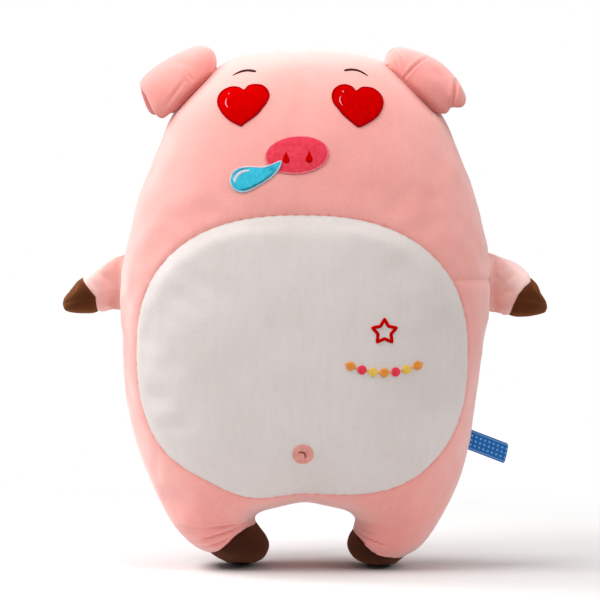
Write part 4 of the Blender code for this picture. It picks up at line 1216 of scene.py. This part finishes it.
arm = {
    "low": 0.4915 * bodyHeight,
    "rootHeight": 0.057,
    "reach": 0.056,
    "halfDepth": 0.021,
    "gap": 0.0003,
    "tuck": (0.0003, 0.0016),  # the left and right sewn ends lie this deep in the side seam
    "tuckFade": 0.002,
    # shares of the reach, then of the root's height up to the upper and lower edges, then of depth
    "sectionsLeft": (
        (0, 1, 0.06, 0), (0.010, 0.995, 0.06, 0.062), (0.032, 0.985, 0.06, 0.086),
        (0.075, 0.962, 0.062, 0.130),
        (0.17, 0.922, 0.054, 0.360), (0.30, 0.861, 0.028, 0.680), (0.47, 0.764, 0.002, 0.940),
        (0.64, 0.642, -0.006, 1.0), (0.79, 0.462, 0.000, 0.890), (0.90, 0.330, 0.020, 0.660),
        (0.97, 0.245, 0.060, 0.400), (1, 0.150, 0.150, 0)),
    "sectionsRight": (
        (0, 1.03, 0.035, 0), (0.010, 1.025, 0.034, 0.062), (0.032, 1.014, 0.026, 0.086),
        (0.075, 0.995, 0.014, 0.130),
        (0.17, 0.946, -0.010, 0.360), (0.30, 0.896, -0.040, 0.680), (0.47, 0.818, -0.056, 0.940),
        (0.64, 0.690, -0.054, 1.0), (0.79, 0.495, -0.034, 0.890), (0.90, 0.315, -0.012, 0.660),
        (0.97, 0.200, 0.018, 0.400), (1, 0.090, 0.090, 0)),
    # where the hoof begins: heights and shares of the reach
    "hoofLeft": ((0.2400, 0.395), (0.2440, 0.396), (0.2582, 0.400), (0.2757, 0.655),
                 (0.2860, 0.72)),
    "hoofRight": ((0.2380, 0.345), (0.2410, 0.352), (0.2510, 0.385), (0.2608, 0.455),
                  (0.2680, 0.565), (0.2733, 0.680), (0.2860, 0.755)),
    # the lengthwise seam: shares of the reach and heights
    "seamLeft": ((0.0, 0.2656), (0.42, 0.2588), (1.0, 0.2522)),
    "seamRight": ((0.0, 0.2706), (0.48, 0.2594), (1.0, 0.2522)),
    "foldsLeft": (((-0.2028, 0.2742), (-0.1985, 0.2690), (-0.1958, 0.2640), 0.0008, 0.0038),
                  ((-0.1930, 0.2835), (-0.1890, 0.2770), (-0.1866, 0.2715), 0.0009, 0.0040),
                  ((-0.1790, 0.2560), (-0.1840, 0.2530), (-0.1900, 0.2520), 0.0007, 0.0024)),
    "foldsRight": (((0.1980, 0.2800), (0.1935, 0.2760), (0.1890, 0.2700), 0.0008, 0.0026),
                   ((0.1985, 0.2660), (0.1960, 0.2640), (0.1925, 0.2650), 0.0006, 0.0022),
                   ((0.1800, 0.2530), (0.1860, 0.2500), (0.1930, 0.2490), 0.0008, 0.0026)),
    "counts": (44, 60), "swellCounts": (22, 40),
    "cloth": (14.0, -0.02, 16),  # stiffness, shrinkage and frames
    "most": 0.0013,  # furthest that the fabric swells between the seams
    "lumps": 0.0004, "lumpSize": 0.009,
    "seamGroove": (0.0007, 0.0018), "hoofGroove": (0.0012, 0.0022),  # depth and width
    "calm": 0.005,  # the fabric lies even this close to a seam
}
armLine = {"Left": smoothLine(arm["sectionsLeft"]), "Right": smoothLine(arm["sectionsRight"])}


# Middle height, half height and half depth of an arm at a share of its reach.
def armSection(side, share):
    upper, lower, depth = readTable(armLine[side], share)
    middle = arm["low"] + (upper + lower) / 2 * arm["rootHeight"]
    return middle, (upper - lower) / 2 * arm["rootHeight"], depth * arm["halfDepth"]


# Surface of an arm at a share of its reach and an angle round it: a superellipse between the upper
# and lower edges, sheared so that its root follows the body's outline.
def armPoint(hand, share, angle):
    middle, half, deep = armSection("Left" if hand < 0 else "Right", share)
    z = middle + half * signedPower(np.cos(angle), 2 / plump)
    edge = hand * lookUp(outlineLine, z)
    tuck = arm["tuck"][0 if hand < 0 else 1] * np.exp(-share * arm["reach"] / arm["tuckFade"])
    x = edge + sway(edge, z) + hand * (arm["gap"] + share * arm["reach"] - tuck)
    return np.stack([x, -deep * signedPower(np.sin(angle), 2 / plump), z], -1)


def armNormal(hand, share, angle, step=0.002):
    along = armPoint(hand, np.minimum(share + step, 1.0), angle)
    along = along - armPoint(hand, np.maximum(share - step, 0.0), angle)
    around = armPoint(hand, share, angle + step) - armPoint(hand, share, angle - step)
    normal = unit(np.cross(along, around))
    point = armPoint(hand, share, angle)
    middle = armPoint(hand, share, 0 * angle) / 2 + armPoint(hand, share, 0 * angle + pi) / 2
    facing = np.sign(np.einsum("...k,...k->...", normal, point - middle))
    return normal * np.where(facing == 0, 1, facing)[..., None]


def armHoof(side, z):
    return readTable(arm["hoof" + side], z)[0]


# Angle at which the lengthwise seam runs.
def seamAngle(side, share):
    middle, half, _ = armSection(side, share)
    seam = readTable(arm["seam" + side], share)[0]
    c = np.clip((seam - middle) / np.maximum(half, 1e-6), -0.98, 0.98)
    return np.arccos(signedPower(c, plump / 2))


# Swelling of an arm's fabric between its seams, as a raster over the share of reach and the angle.
def armSwelling(side, hand):
    rows, columns = arm["swellCounts"]
    share, angle = np.meshgrid(np.linspace(0, 1, rows), ringAngles(columns), indexing="ij")
    points, triangles, used = shell(armPoint(hand, share, angle))
    s, a = share.ravel()[used], angle.ravel()[used]
    seam = seamAngle(side, s)
    fold = np.minimum(np.abs(a - seam), np.abs(a - (2 * pi - seam)))
    pinned = (fold < 0.09) | (s < 0.03) | (np.abs(s - armHoof(side, points[:, 2])) < 0.03)
    moved = swell("armPad", points, triangles, pinned, *arm["cloth"])
    out = np.einsum("ij,ij->i", moved, armNormal(hand, np.clip(s, 0.01, 0.99), a))
    raster = np.zeros(rows * columns)
    raster[used] = arm["most"] * np.tanh(out / arm["most"])
    raster = raster.reshape(rows, columns)
    raster[0] = 0.0
    raster[-1] = raster[-2].mean()
    return raster


# One cover of an arm. Its columns run from seam to seam and its rows from the root to the hoof
# seam, or from there to the tip, so that its borders lie on the seams.
def armCover(side, hand, upper, hoof, raster):
    rows, columns = arm["counts"]
    v, w = np.meshgrid(np.linspace(0, 1, rows + 1), np.linspace(-1, 1, columns + 1), indexing="ij")
    share = 0.5 * v + (0.5 if hoof else 0.0)
    for _ in range(40):
        seam = seamAngle(side, share)
        angle = w * seam if upper else pi + w * (pi - seam)
        z = armPoint(hand, share, angle)[..., 2]
        border = armHoof(side, z)
        share = (share + (border + (1 - border) * np.sin(v * pi / 2) if hoof else border * v)) / 2
    point = armPoint(hand, share, angle)
    normal = armNormal(hand, np.clip(share, 0.004, 0.997), angle)
    x, y, z = np.moveaxis(point, -1, 0)
    toSeam = (1 - np.abs(w)) * (seam if upper else pi - seam) * 0.019
    toHoof = np.abs(share - armHoof(side, z)) * arm["reach"]
    pucker = 1 + 0.25 * np.sin(share * 70 + 1.0) * np.sin(angle * 9)
    grooved = zip((toSeam, toHoof), (arm["seamGroove"], arm["hoofGroove"]))
    notch = np.maximum(*[depth * np.exp(-gap / width) for gap, (depth, width) in grooved])
    notch = notch * pucker
    calm = np.minimum(*[1 - bell(gap / arm["calm"]) for gap in (toSeam, toHoof)])
    ends = clamp(share / 0.10)
    folds = np.zeros(share.shape)
    for fold in arm["folds" + side]:
        folds += np.where(y < 0, foldRelief(x, z, fold), 0.0)
    bumps = arm["lumps"] * lumps(x, y, z, arm["lumpSize"])
    out = (readArm(raster, share, angle) + bumps) * calm * ends - (notch - folds) * ends
    # Painted shade: darker in the seams and folds and at the root, against the body.
    hollow = clamp(notch / 0.0013) ** 1.5 * 0.6 + clamp(-folds / 0.0012) * 0.55
    hollow = np.maximum(hollow, 0.6 * np.exp(-share * arm["reach"] / 0.0014))
    spots = point + normal * out[..., None]
    return spots.reshape(-1, 3), hollow.ravel()


# Faces turned over together, if they don't look the way that is wanted at their corners.
def facingOut(points, faces, normalsWanted):
    a, b, c = [points[faces[:, k]] for k in range(3)]
    normal = np.cross(b - a, c - a)
    return faces[:, ::-1] if np.einsum("ij,ij->", normal, normalsWanted[faces[:, 0]]) < 0 else faces


def makeArms():
    for side, hand, lower in hands:
        raster = armSwelling(side, hand)
        for part, upper, hoof, nodes in (
                ("Top", True, False, (f"arm_top_{lower}", f"arm_stuffing_{lower}")),
                ("Bottom", False, False, (f"arm_bottom_{lower}",)),
                ("HoofTop", True, True, (f"arm_hoof_top_{lower}",)),
                ("HoofBottom", False, True, (f"arm_hoof_bottom_{lower}",))):
            points, hollow = armCover(side, hand, upper, hoof, raster)
            rows, columns = arm["counts"]
            quads = facingOut(points, gridQuads(rows + 1, columns + 1),
                              points - (hand * 0.2, 0, 0.26))
            # Hoofs wear the brown plush; the pink covers wear lit copies of the body's pink,
            # painted light.
            material = "brownPlush" if hoof else f"arm{part}Plush"
            piece = newPiece(f"arm{part}Cover{side}", points, quads, f"arm_{lower}", material,
                             hollow, wall=0.0016)
            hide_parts(*nodes)


# Painted light: the arms are paler copies of the body's pink, their tops lighter than undersides.
materials["armTopPlush"] = plush("shearedPlushPinkArmPaintedLight", "#FFD9D2", "#FBC0B6", creaseShade="#EE8678")
materials["armBottomPlush"] = plush("shearedPlushPinkArmUnderPaintedLight", "#FFCCC3", "#F9B0A5",
                                    creaseShade="#EC8374")
makeArms()
print("arms made")

ear = {
    "rootHigh": 0.964, "rootLow": 0.880,
    "gap": 0.0003,
    "halfThick": 0.0031,  # wadding and a fabric on each side
    "puff": 0.0014,  # how much thicker it is in the middle, outwards
    "edgeRound": 0.0065,
    "lift": 0.0010,  # the middle of the flap stands out this far
    "clear": 0.0058,  # from the head to the middle of the flap
    "upShare": 0.36,  # share of the way from the root up to the fold
    "flapShare": 0.45, "shownShare": 0.47,  # from here on the flap clears the head, and wrinkles
    "onHead": 0.0029,  # the free edge lies this far in front of the head
    "leastOut": 0.012,  # and at least this far in front of the side seam
    "spans": (0.050, 0.085),  # lengths of the root and the way, for the distance from the edges
    "lumpSpans": (0.046, 0.078),
    "counts": (84, 150),
    # the fold, and the flap's free edge on the head, from the upper end to the lower one
    "foldLeft": ((0.0857, 0.4778), (0.0879, 0.4873), (0.0922, 0.4935), (0.0993, 0.4959),
                 (0.1126, 0.4911), (0.1307, 0.4816), (0.1459, 0.4726), (0.1580, 0.4631)),
    "foldRight": ((0.0774, 0.4778), (0.0808, 0.4873), (0.0846, 0.4925), (0.0926, 0.4944),
                  (0.1059, 0.4906), (0.1231, 0.4825), (0.1373, 0.4716), (0.1473, 0.4602)),
    "freeLeft": ((0.0860, 0.4745), (0.0922, 0.4650), (0.0998, 0.4564), (0.1079, 0.4479),
                 (0.1155, 0.4403)),
    "freeRight": ((0.0784, 0.4773), (0.0869, 0.4683), (0.0964, 0.4578), (0.1078, 0.4460),
                  (0.1202, 0.4355)),
    # shares of the way and how far the lower end bulges outwards and up there: first the back
    # layer from the root to the fold, then the flap from the fold to its free edge
    "lobeLeft": ((0, 0, 0), (0.15, 0.0056, -0.0056), (0.3, 0.0100, -0.0106),
                 (0.45, 0.0098, -0.0108), (0.6, 0.0080, -0.0087), (0.8, 0.0047, -0.0047),
                 (1, 0, -0.0010)),
    "lobeRight": ((0, 0, 0), (0.25, 0.0020, -0.0015), (0.5, 0.0050, -0.0030),
                  (0.75, 0.0040, -0.0030), (1, 0, 0)),
    "tipLeft": ((0, 0, 0), (0.12, 0.0019, -0.0043), (0.25, 0.0030, -0.0078),
                (0.4, 0.0049, -0.0143), (0.55, 0.0075, -0.0183), (0.68, 0.0075, -0.0204),
                (0.8, 0.0072, -0.0168), (0.9, 0.0048, -0.0084), (1, 0, 0)),
    "tipRight": ((0, 0, 0), (0.12, 0.0075, -0.0050), (0.25, 0.0126, -0.0088),
                 (0.38, 0.0131, -0.0126), (0.5, 0.0102, -0.0109), (0.6, 0.0068, -0.0079),
                 (0.68, 0.0075, -0.0094), (0.82, 0.0073, -0.0094), (0.93, 0.0043, -0.0056),
                 (1, 0, 0)),
    "wrinklesLeft": (((-0.1122, 0.4711), (-0.1098, 0.4664), (-0.1046, 0.4612), 0.001, 0.0011),
                     ((-0.1126, 0.4616), (-0.1202, 0.4512), (-0.1298, 0.4388), 0.0005, 0.0017),
                     ((-0.0960, 0.4873), (-0.0922, 0.4806), (-0.0929, 0.4730), -0.0008, 0.001),
                     ((-0.1221, 0.4816), (-0.1126, 0.4778), (-0.1050, 0.4702), 0.0006, 0.0032)),
    "wrinklesRight": (((0.1135, 0.4815), (0.1021, 0.4749), (0.0936, 0.4616), 0.0019, 0.0011),
                      ((0.1202, 0.4711), (0.1250, 0.4673), (0.1326, 0.4654), 0.0005, 0.0045),
                      ((0.0863, 0.4925), (0.0875, 0.4816), (0.0936, 0.4690), -0.0015, 0.0011),
                      ((0.1411, 0.4607), (0.1402, 0.4512), (0.1382, 0.4380), 0.0022, 0.0017)),
}


# Middle of a folded ear: t runs down the root, v from the root up to the fold and on along a
# quarter ellipse, forwards and down, until the flap rests on the head: down = 1 - cos(turn) and
# y = rest sin(turn). The path is smoothed along v.
def earPoint(side, hand, t, v):
    endZ = np.array([ear["rootHigh"], ear["rootLow"]]) * bodyHeight
    z = endZ[0] + (endZ[1] - endZ[0]) * t
    edge = lookUp(outlineLine, z)
    root = np.stack([edge + 2 * ear["gap"] + hand * sway(hand * edge, z), z], -1)
    curves = [smoothLine(ear[name + side]) for name in ("fold", "free")]
    places = [np.cumsum(np.hypot(*np.diff(curve, axis=0, prepend=curve[:1]).T)) for curve in curves]
    places = [place / place[-1] for place in places]
    fold, free = [np.stack([np.interp(t, place, curve[:, k]) for k in (0, 1)], -1)
                  for place, curve in zip(places, curves)]
    toFold = ear["upShare"]
    up = clamp(v / toFold)
    turn = clamp((v - toFold) / (1 - toFold)) * pi / 2
    down = 1 - np.cos(turn)
    spot = np.where((v < toFold)[..., None], root + (fold - root) * up[..., None],
                    fold + (free - fold) * down[..., None])
    for way, mask, name in ((up, v < toFold, "lobe"), (down, v >= toFold, "tip")):
        bulge = np.stack(readTable(smoothLine(ear[name + side]), way), -1)
        spot = spot + np.where(mask, t**4, 0.0)[..., None] * bulge
    even = free[..., 0] - hand * sway(hand * free[..., 0], free[..., 1])
    rest = -skinShare(even, free[..., 1]) * bodyShape["frontDepth"] - ear["onHead"]
    rest = np.minimum(rest, -ear["leastOut"])
    y = rest * np.sin(turn)
    y = y - ear["lift"] * np.sin(pi * down) ** 2 * np.sin(pi * (0.12 + 0.76 * t))
    even = spot[..., 0] - hand * sway(hand * spot[..., 0], spot[..., 1])
    inside = np.abs(even) < lookUp(outlineLine, spot[..., 1])
    head = np.where(inside, skinShare(even, spot[..., 1]) * bodyShape["frontDepth"], 0.0)
    limit = -head - ear["clear"] * np.clip((1 - down) * 9, 0.5, 1)
    y = np.where((v > ear["flapShare"]) & inside, np.minimum(y, limit), y)
    points = np.stack([hand * spot[..., 0], y, spot[..., 1]], -1)
    for _ in range(16):
        points[:, 1:-1] = (points[:, :-2] + 2 * points[:, 1:-1] + points[:, 2:]) / 4
    return points


# One layer of an ear. Layer is +1 outside the fold and -1 inside it. Both layers meet in the seam
# along the free edges, where the thickness runs out in a quarter ellipse.
def earLayer(side, hand, layer):
    rows, columns = ear["counts"]
    t = 0.5 - 0.5 * np.cos(np.linspace(0, pi, rows + 1))
    v = np.linspace(0, 1, columns + 1)
    v = 0.15 * (0.5 - 0.5 * np.cos(pi * v)) + 0.85 * v
    t, v = np.meshgrid(t, v, indexing="ij")
    middle = earPoint(side, hand, t, v)
    normal = unit(np.cross(np.gradient(middle, axis=0), np.gradient(middle, axis=1)) * -hand)
    if np.sum(normal[rows // 2, columns // 2] * (0, -1, 0.3)) < 0:
        normal = -normal
    toEnd = np.minimum(t, 1 - t) * ear["spans"][0]
    toFree = (1 - v) * ear["spans"][1]
    away = clamp(np.minimum(toEnd, toFree) / ear["edgeRound"])
    puff = ear["puff"] if layer > 0 else 0.0
    thick = (ear["halfThick"] + puff * np.sin(pi * t)) * np.sqrt(1 - (1 - away) ** 2)
    thick = np.maximum(thick, 0.00005)
    relief = np.zeros(t.shape)
    if layer > 0:
        for fold in ear["wrinkles" + side]:
            groove = foldRelief(middle[..., 0], middle[..., 2], fold)
            relief += np.where(v > ear["shownShare"], groove, 0.0)
    down, along = t * ear["lumpSpans"][0], v * ear["lumpSpans"][1]
    relief += 0.0005 * lumps(down, along, t * 0, 0.0065)
    spots = middle + normal * (layer * (thick + relief * clamp(away * 2)))[..., None]
    # Painted shade: darker in the wrinkles, along the flap's free edge on the head and at the root.
    hollow = clamp(-relief / 0.0012) * 0.6
    free = 0.68 * bell(toFree / 0.0065) * clamp(t / 0.06)
    root = 0.7 * np.exp(-along / 0.004)
    hollow = np.maximum(hollow, np.maximum(free, root))
    return spots.reshape(-1, 3), hollow.ravel(), (normal * layer).reshape(-1, 3)


def makeEars():
    rows, columns = ear["counts"]
    for side, hand, lower in hands:
        for layer, part, nodes in ((1, "Outer", (f"ear_outer_{lower}", f"ear_wadding_{lower}")),
                                   (-1, "Inner", (f"ear_inner_{lower}",))):
            points, hollow, normals = earLayer(side, hand, layer)
            quads = facingOut(points, gridQuads(rows + 1, columns + 1), normals)
            piece = newPiece(f"ear{part}Cover{side}", points, quads, f"ear_{lower}", "earShadedPlush",
                             hollow, wall=0.0012)
            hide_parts(*nodes)


# The ears: a deeper copy of the body's pink, painted shade, with a crease-shade colour.
materials["earShadedPlush"] = plush("shearedPlushPinkEarShaded", "#EF8F86", "#DE675D", creaseShade="#D03A2A")
makeEars()
print("ears made")

label = {
    "z": 0.2479 * bodyHeight,
    "length": 0.0388, "width": 0.0188,  # 35 mm show, the rest lies in the seam
    "slope": math.radians(-22),
    "tuck": 0.0019,  # its sewn end lies this deep in the side seam
    "corner": 0.0022,  # radius of the corners at the fold
    "ply": 0.00036, "apart": 0.0003,
    "bend": 0.0022,  # the free end curls forward this far
    "counts": (60, 24),
    # middle of the flap's hinge, the way out from it, and where the ribbon bends on either side
    "hinge": (0.1604, 0.0, 0.1213), "way": (0.9708, 0.0, -0.2397), "bends": (-0.0035, 0.0030),
}


# A folded ribbon: one strip runs from the seam out to its fold and back behind itself. Its path is
# a flattened loop, and the whole label curls a little towards its free end.
def makeLabel():
    rows, columns = label["counts"]
    half = label["apart"] / 2 + label["ply"] / 2
    straight = label["length"] - half - label["ply"] / 2
    total = 2 * straight + pi * half
    walked = np.linspace(0, total, rows + 1)
    turn = np.clip((walked - straight) / half, 0, pi)
    out = np.where(walked < straight, walked, straight + half * np.sin(turn))
    out = np.where(walked > straight + pi * half, total - walked, out)
    y = -half * np.cos(turn)
    across = np.linspace(-0.5, 0.5, columns + 1) * label["width"]
    out, y = out[:, None] + 0 * across, y[:, None] + 0 * across
    across = across[None, :] + 0 * out
    y = y - label["bend"] * (out / label["length"]) ** 2 * (1 + 0.3 * across / label["width"])
    corner = label["corner"]
    past = clamp(np.abs(across) / corner - label["width"] / 2 / corner + 1)
    short = corner * (1 - np.sqrt(1 - 0.9 * past**2))
    out = out * (1 - short / label["length"])
    z = label["z"] + across
    edge = lookUp(outlineLine, z)
    root = edge + sway(edge, z) - label["tuck"] * (1 - out / label["length"])
    x = root + out * math.cos(label["slope"])
    z = z + out * math.sin(label["slope"])
    points = np.stack([x, y, z], -1).reshape(-1, 3)
    quads = gridQuads(rows + 1, columns + 1)
    wanted = np.stack([0 * x, -np.cos(turn)[:, None] + 0 * x, 0 * x], -1).reshape(-1, 3)
    quads = facingOut(points, quads, wanted)
    piece = newPiece("ribbonLabel", points, quads, None, "ribbon")
    layer = piece.data.uv_layers.new(name="ribbon")
    flat = np.stack([walked[:, None] + 0 * across, across], -1).reshape(-1, 2)
    pointOf = np.empty(len(piece.data.loops), np.int32)
    piece.data.loops.foreach_get("vertex_index", pointOf)
    layer.data.foreach_set("uv", flat[pointOf].astype(np.float32).ravel())
    ply = piece.modifiers.new("ply", "SOLIDIFY")
    ply.thickness = label["ply"]
    ply.offset = 0
    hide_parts("side_label")
    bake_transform(piece)


makeLabel()
print("label made")

tail = {
    "z": 0.25 * bodyHeight, "gap": 0.0008, "radius": 0.0043, "stem": 0.014,
    "curl": 0.0125, "pitch": 0.014, "turns": 1.1, "rootShare": 0.35, "counts": (150, 36),
    "walk": 1.3, "stemWalk": 0.2, "curlWalk": 1.1,  # the way along it, first stem, then curl
    "endShare": 0.06,  # share of the way in which it rounds off at each end
}


# A stuffed curl: a stem that leaves the back squarely and winds about an axis above it. The
# profile is a circle with a seam groove inside the curl, and it pinches slightly as it bends.
def makeTail():
    rows, columns = tail["counts"]
    start = float(skinY(0.0, tail["z"], 1)) + tail["gap"]
    share = np.linspace(0, 1, rows)
    walk = tail["walk"] * share
    stem = clamp(walk / tail["stemWalk"])
    turn = clamp((walk - tail["stemWalk"]) / tail["curlWalk"]) * 2 * pi * tail["turns"]
    x = tail["curl"] * np.sin(turn)
    y = start + tail["stem"] * stem + tail["pitch"] * turn / (2 * pi)
    z = tail["z"] + tail["curl"] * (1 - np.cos(turn))
    line = np.stack([x, y, z], -1)
    for _ in range(6):
        line[1:-1] = (line[:-2] + 2 * line[1:-1] + line[2:]) / 4
    way = unit(np.gradient(line, axis=0))
    inwards = (0.0, start, tail["z"] + tail["curl"]) - line
    inwards[:, 1] = 0
    inwards = unit(inwards - way * np.einsum("ij,ij->i", inwards, way)[:, None])
    sideways = np.cross(way, inwards)
    angle = ringAngles(columns)
    ends = clamp((1 - share) / tail["endShare"])
    opened = clamp(share / tail["endShare"]) ** 0.5
    radius = tail["radius"] * np.sqrt(1 - (1 - ends) ** 2) * (1 - 0.25 * share)
    radius *= tail["rootShare"] + (1 - tail["rootShare"]) * opened
    pinch = 1 + 0.03 * np.sin(share * 120)[:, None] * clamp(np.cos(angle))
    off = np.angle(np.exp(1j * angle))  # from the inside of the curl, where the seam runs
    groove = 1 - 0.14 * bell(off / 0.25)
    reach = radius[:, None] * pinch * groove
    reach[0], reach[-1] = 0, 0
    grid = line[:, None] + inwards[:, None] * (reach * np.cos(angle))[..., None]
    grid = grid + sideways[:, None] * (reach * np.sin(angle))[..., None]
    points, triangles, used = shell(grid)
    # Painted shade: darker along the seam inside the curl and at the root.
    deep = 0.7 * bell(off / 0.3) + 0 * share[:, None]
    deep = np.maximum(deep, 0.8 * np.exp(-share * 60)[:, None])
    piece = newPiece("curledTail", points, triangles, "tail", "pinkPlush", deep.ravel()[used])
    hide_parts("tail")


makeTail()
print("tail made")

camera = {"place": (-0.0043, -2.0, 0.2554), "lens": 125.0, "sensor": 36.0}


# The camera stands level and looks along +Y.
def makeCamera():
    data = bpy.data.cameras.new("camera")
    data.lens, data.sensor_width = camera["lens"], camera["sensor"]
    made = newObject("camera", data)
    made.location, made.rotation_euler = camera["place"], (pi / 2, 0, 0)
    bpy.context.scene.camera = made


lamps = (  # name, place, size, watts, colour
    ("keyLeft", (-1.5, -0.95, 2.10), 1.1, 42.0, "#FFFDFB"),
    ("fillRight", (1.5, -1.0, 1.3), 1.2, 15.5, "#FFFBF8"),
    ("overhead", (0.0, -0.3, 2.0), 1.3, 17.0, "#FFFFFF"),
    ("edgeLeft", (-1.25, 0.35, 1.5), 0.8, 24.0, "#FFFFFF"),
    ("edgeRight", (1.3, 0.6, 0.9), 0.8, 2.0, "#FFFFFF"),
)


def makeLights():
    for name, place, size, watts, colour in lamps:
        data = bpy.data.lights.new(name, "AREA")
        data.size, data.energy, data.color = size, watts, linear(colour)[:3]
        lamp = newObject(name, data)
        x, y, z = np.array([0.0, 0.0, 0.26]) - place  # all lamps aim at the toy's middle
        lamp.location = place
        lamp.rotation_euler = (pi / 2 + math.atan2(z, np.hypot(x, y)), 0, math.atan2(-x, y))
    world = bpy.data.worlds.new("studio")
    bpy.context.scene.world = world
    world.use_nodes = True
    tree = world.node_tree
    tree.nodes.clear()
    seen = addNode(tree, "LightPath")
    power = addNode(tree, "MapRange", inputs={
        "Value": seen.outputs["Is Camera Ray"], "To Min": 0.25, "To Max": 1.0})
    sky = addNode(tree, "Background", inputs={
        "Color": linear("#FFFFFF"), "Strength": power.outputs["Result"]})
    addNode(tree, "OutputWorld", inputs={"Surface": sky.outputs["Background"]})


floorReach = {"half": 0.84, "whole": 0.34, "gone": 0.82}


# White paper, dull and even. It thins out into the white backdrop away from the middle.
def makeFloor():
    material, tree, shader = newMaterial("paperFloorWhite")
    spot = addNode(tree, "TexCoord").outputs["Object"]
    away = addNode(tree, "VectorMath", {"operation": "LENGTH"}, {0: spot})
    thin = addNode(tree, "MapRange", {"interpolation_type": "SMOOTHSTEP"}, {
        "Value": away.outputs["Value"], "From Min": floorReach["whole"],
        "From Max": floorReach["gone"], "To Min": 1.0, "To Max": 0.0})
    setInputs(tree, shader, {
        "Base Color": linear("#DCDCDC"), "Roughness": 0.9, "Alpha": thin.outputs["Result"]})
    points = floorReach["half"] * np.array([[-1, -1, 0], [1, -1, 0], [1, 1, 0], [-1, 1, 0]], float)
    mesh = newMesh("floor", points, np.array([[0, 1, 2, 3]]))
    mesh.materials.append(material)
    floor = newObject("floor", mesh)


makeCamera()
makeLights()
makeFloor()
bpy.context.scene.view_settings.view_transform = "Standard"
print("stage made")
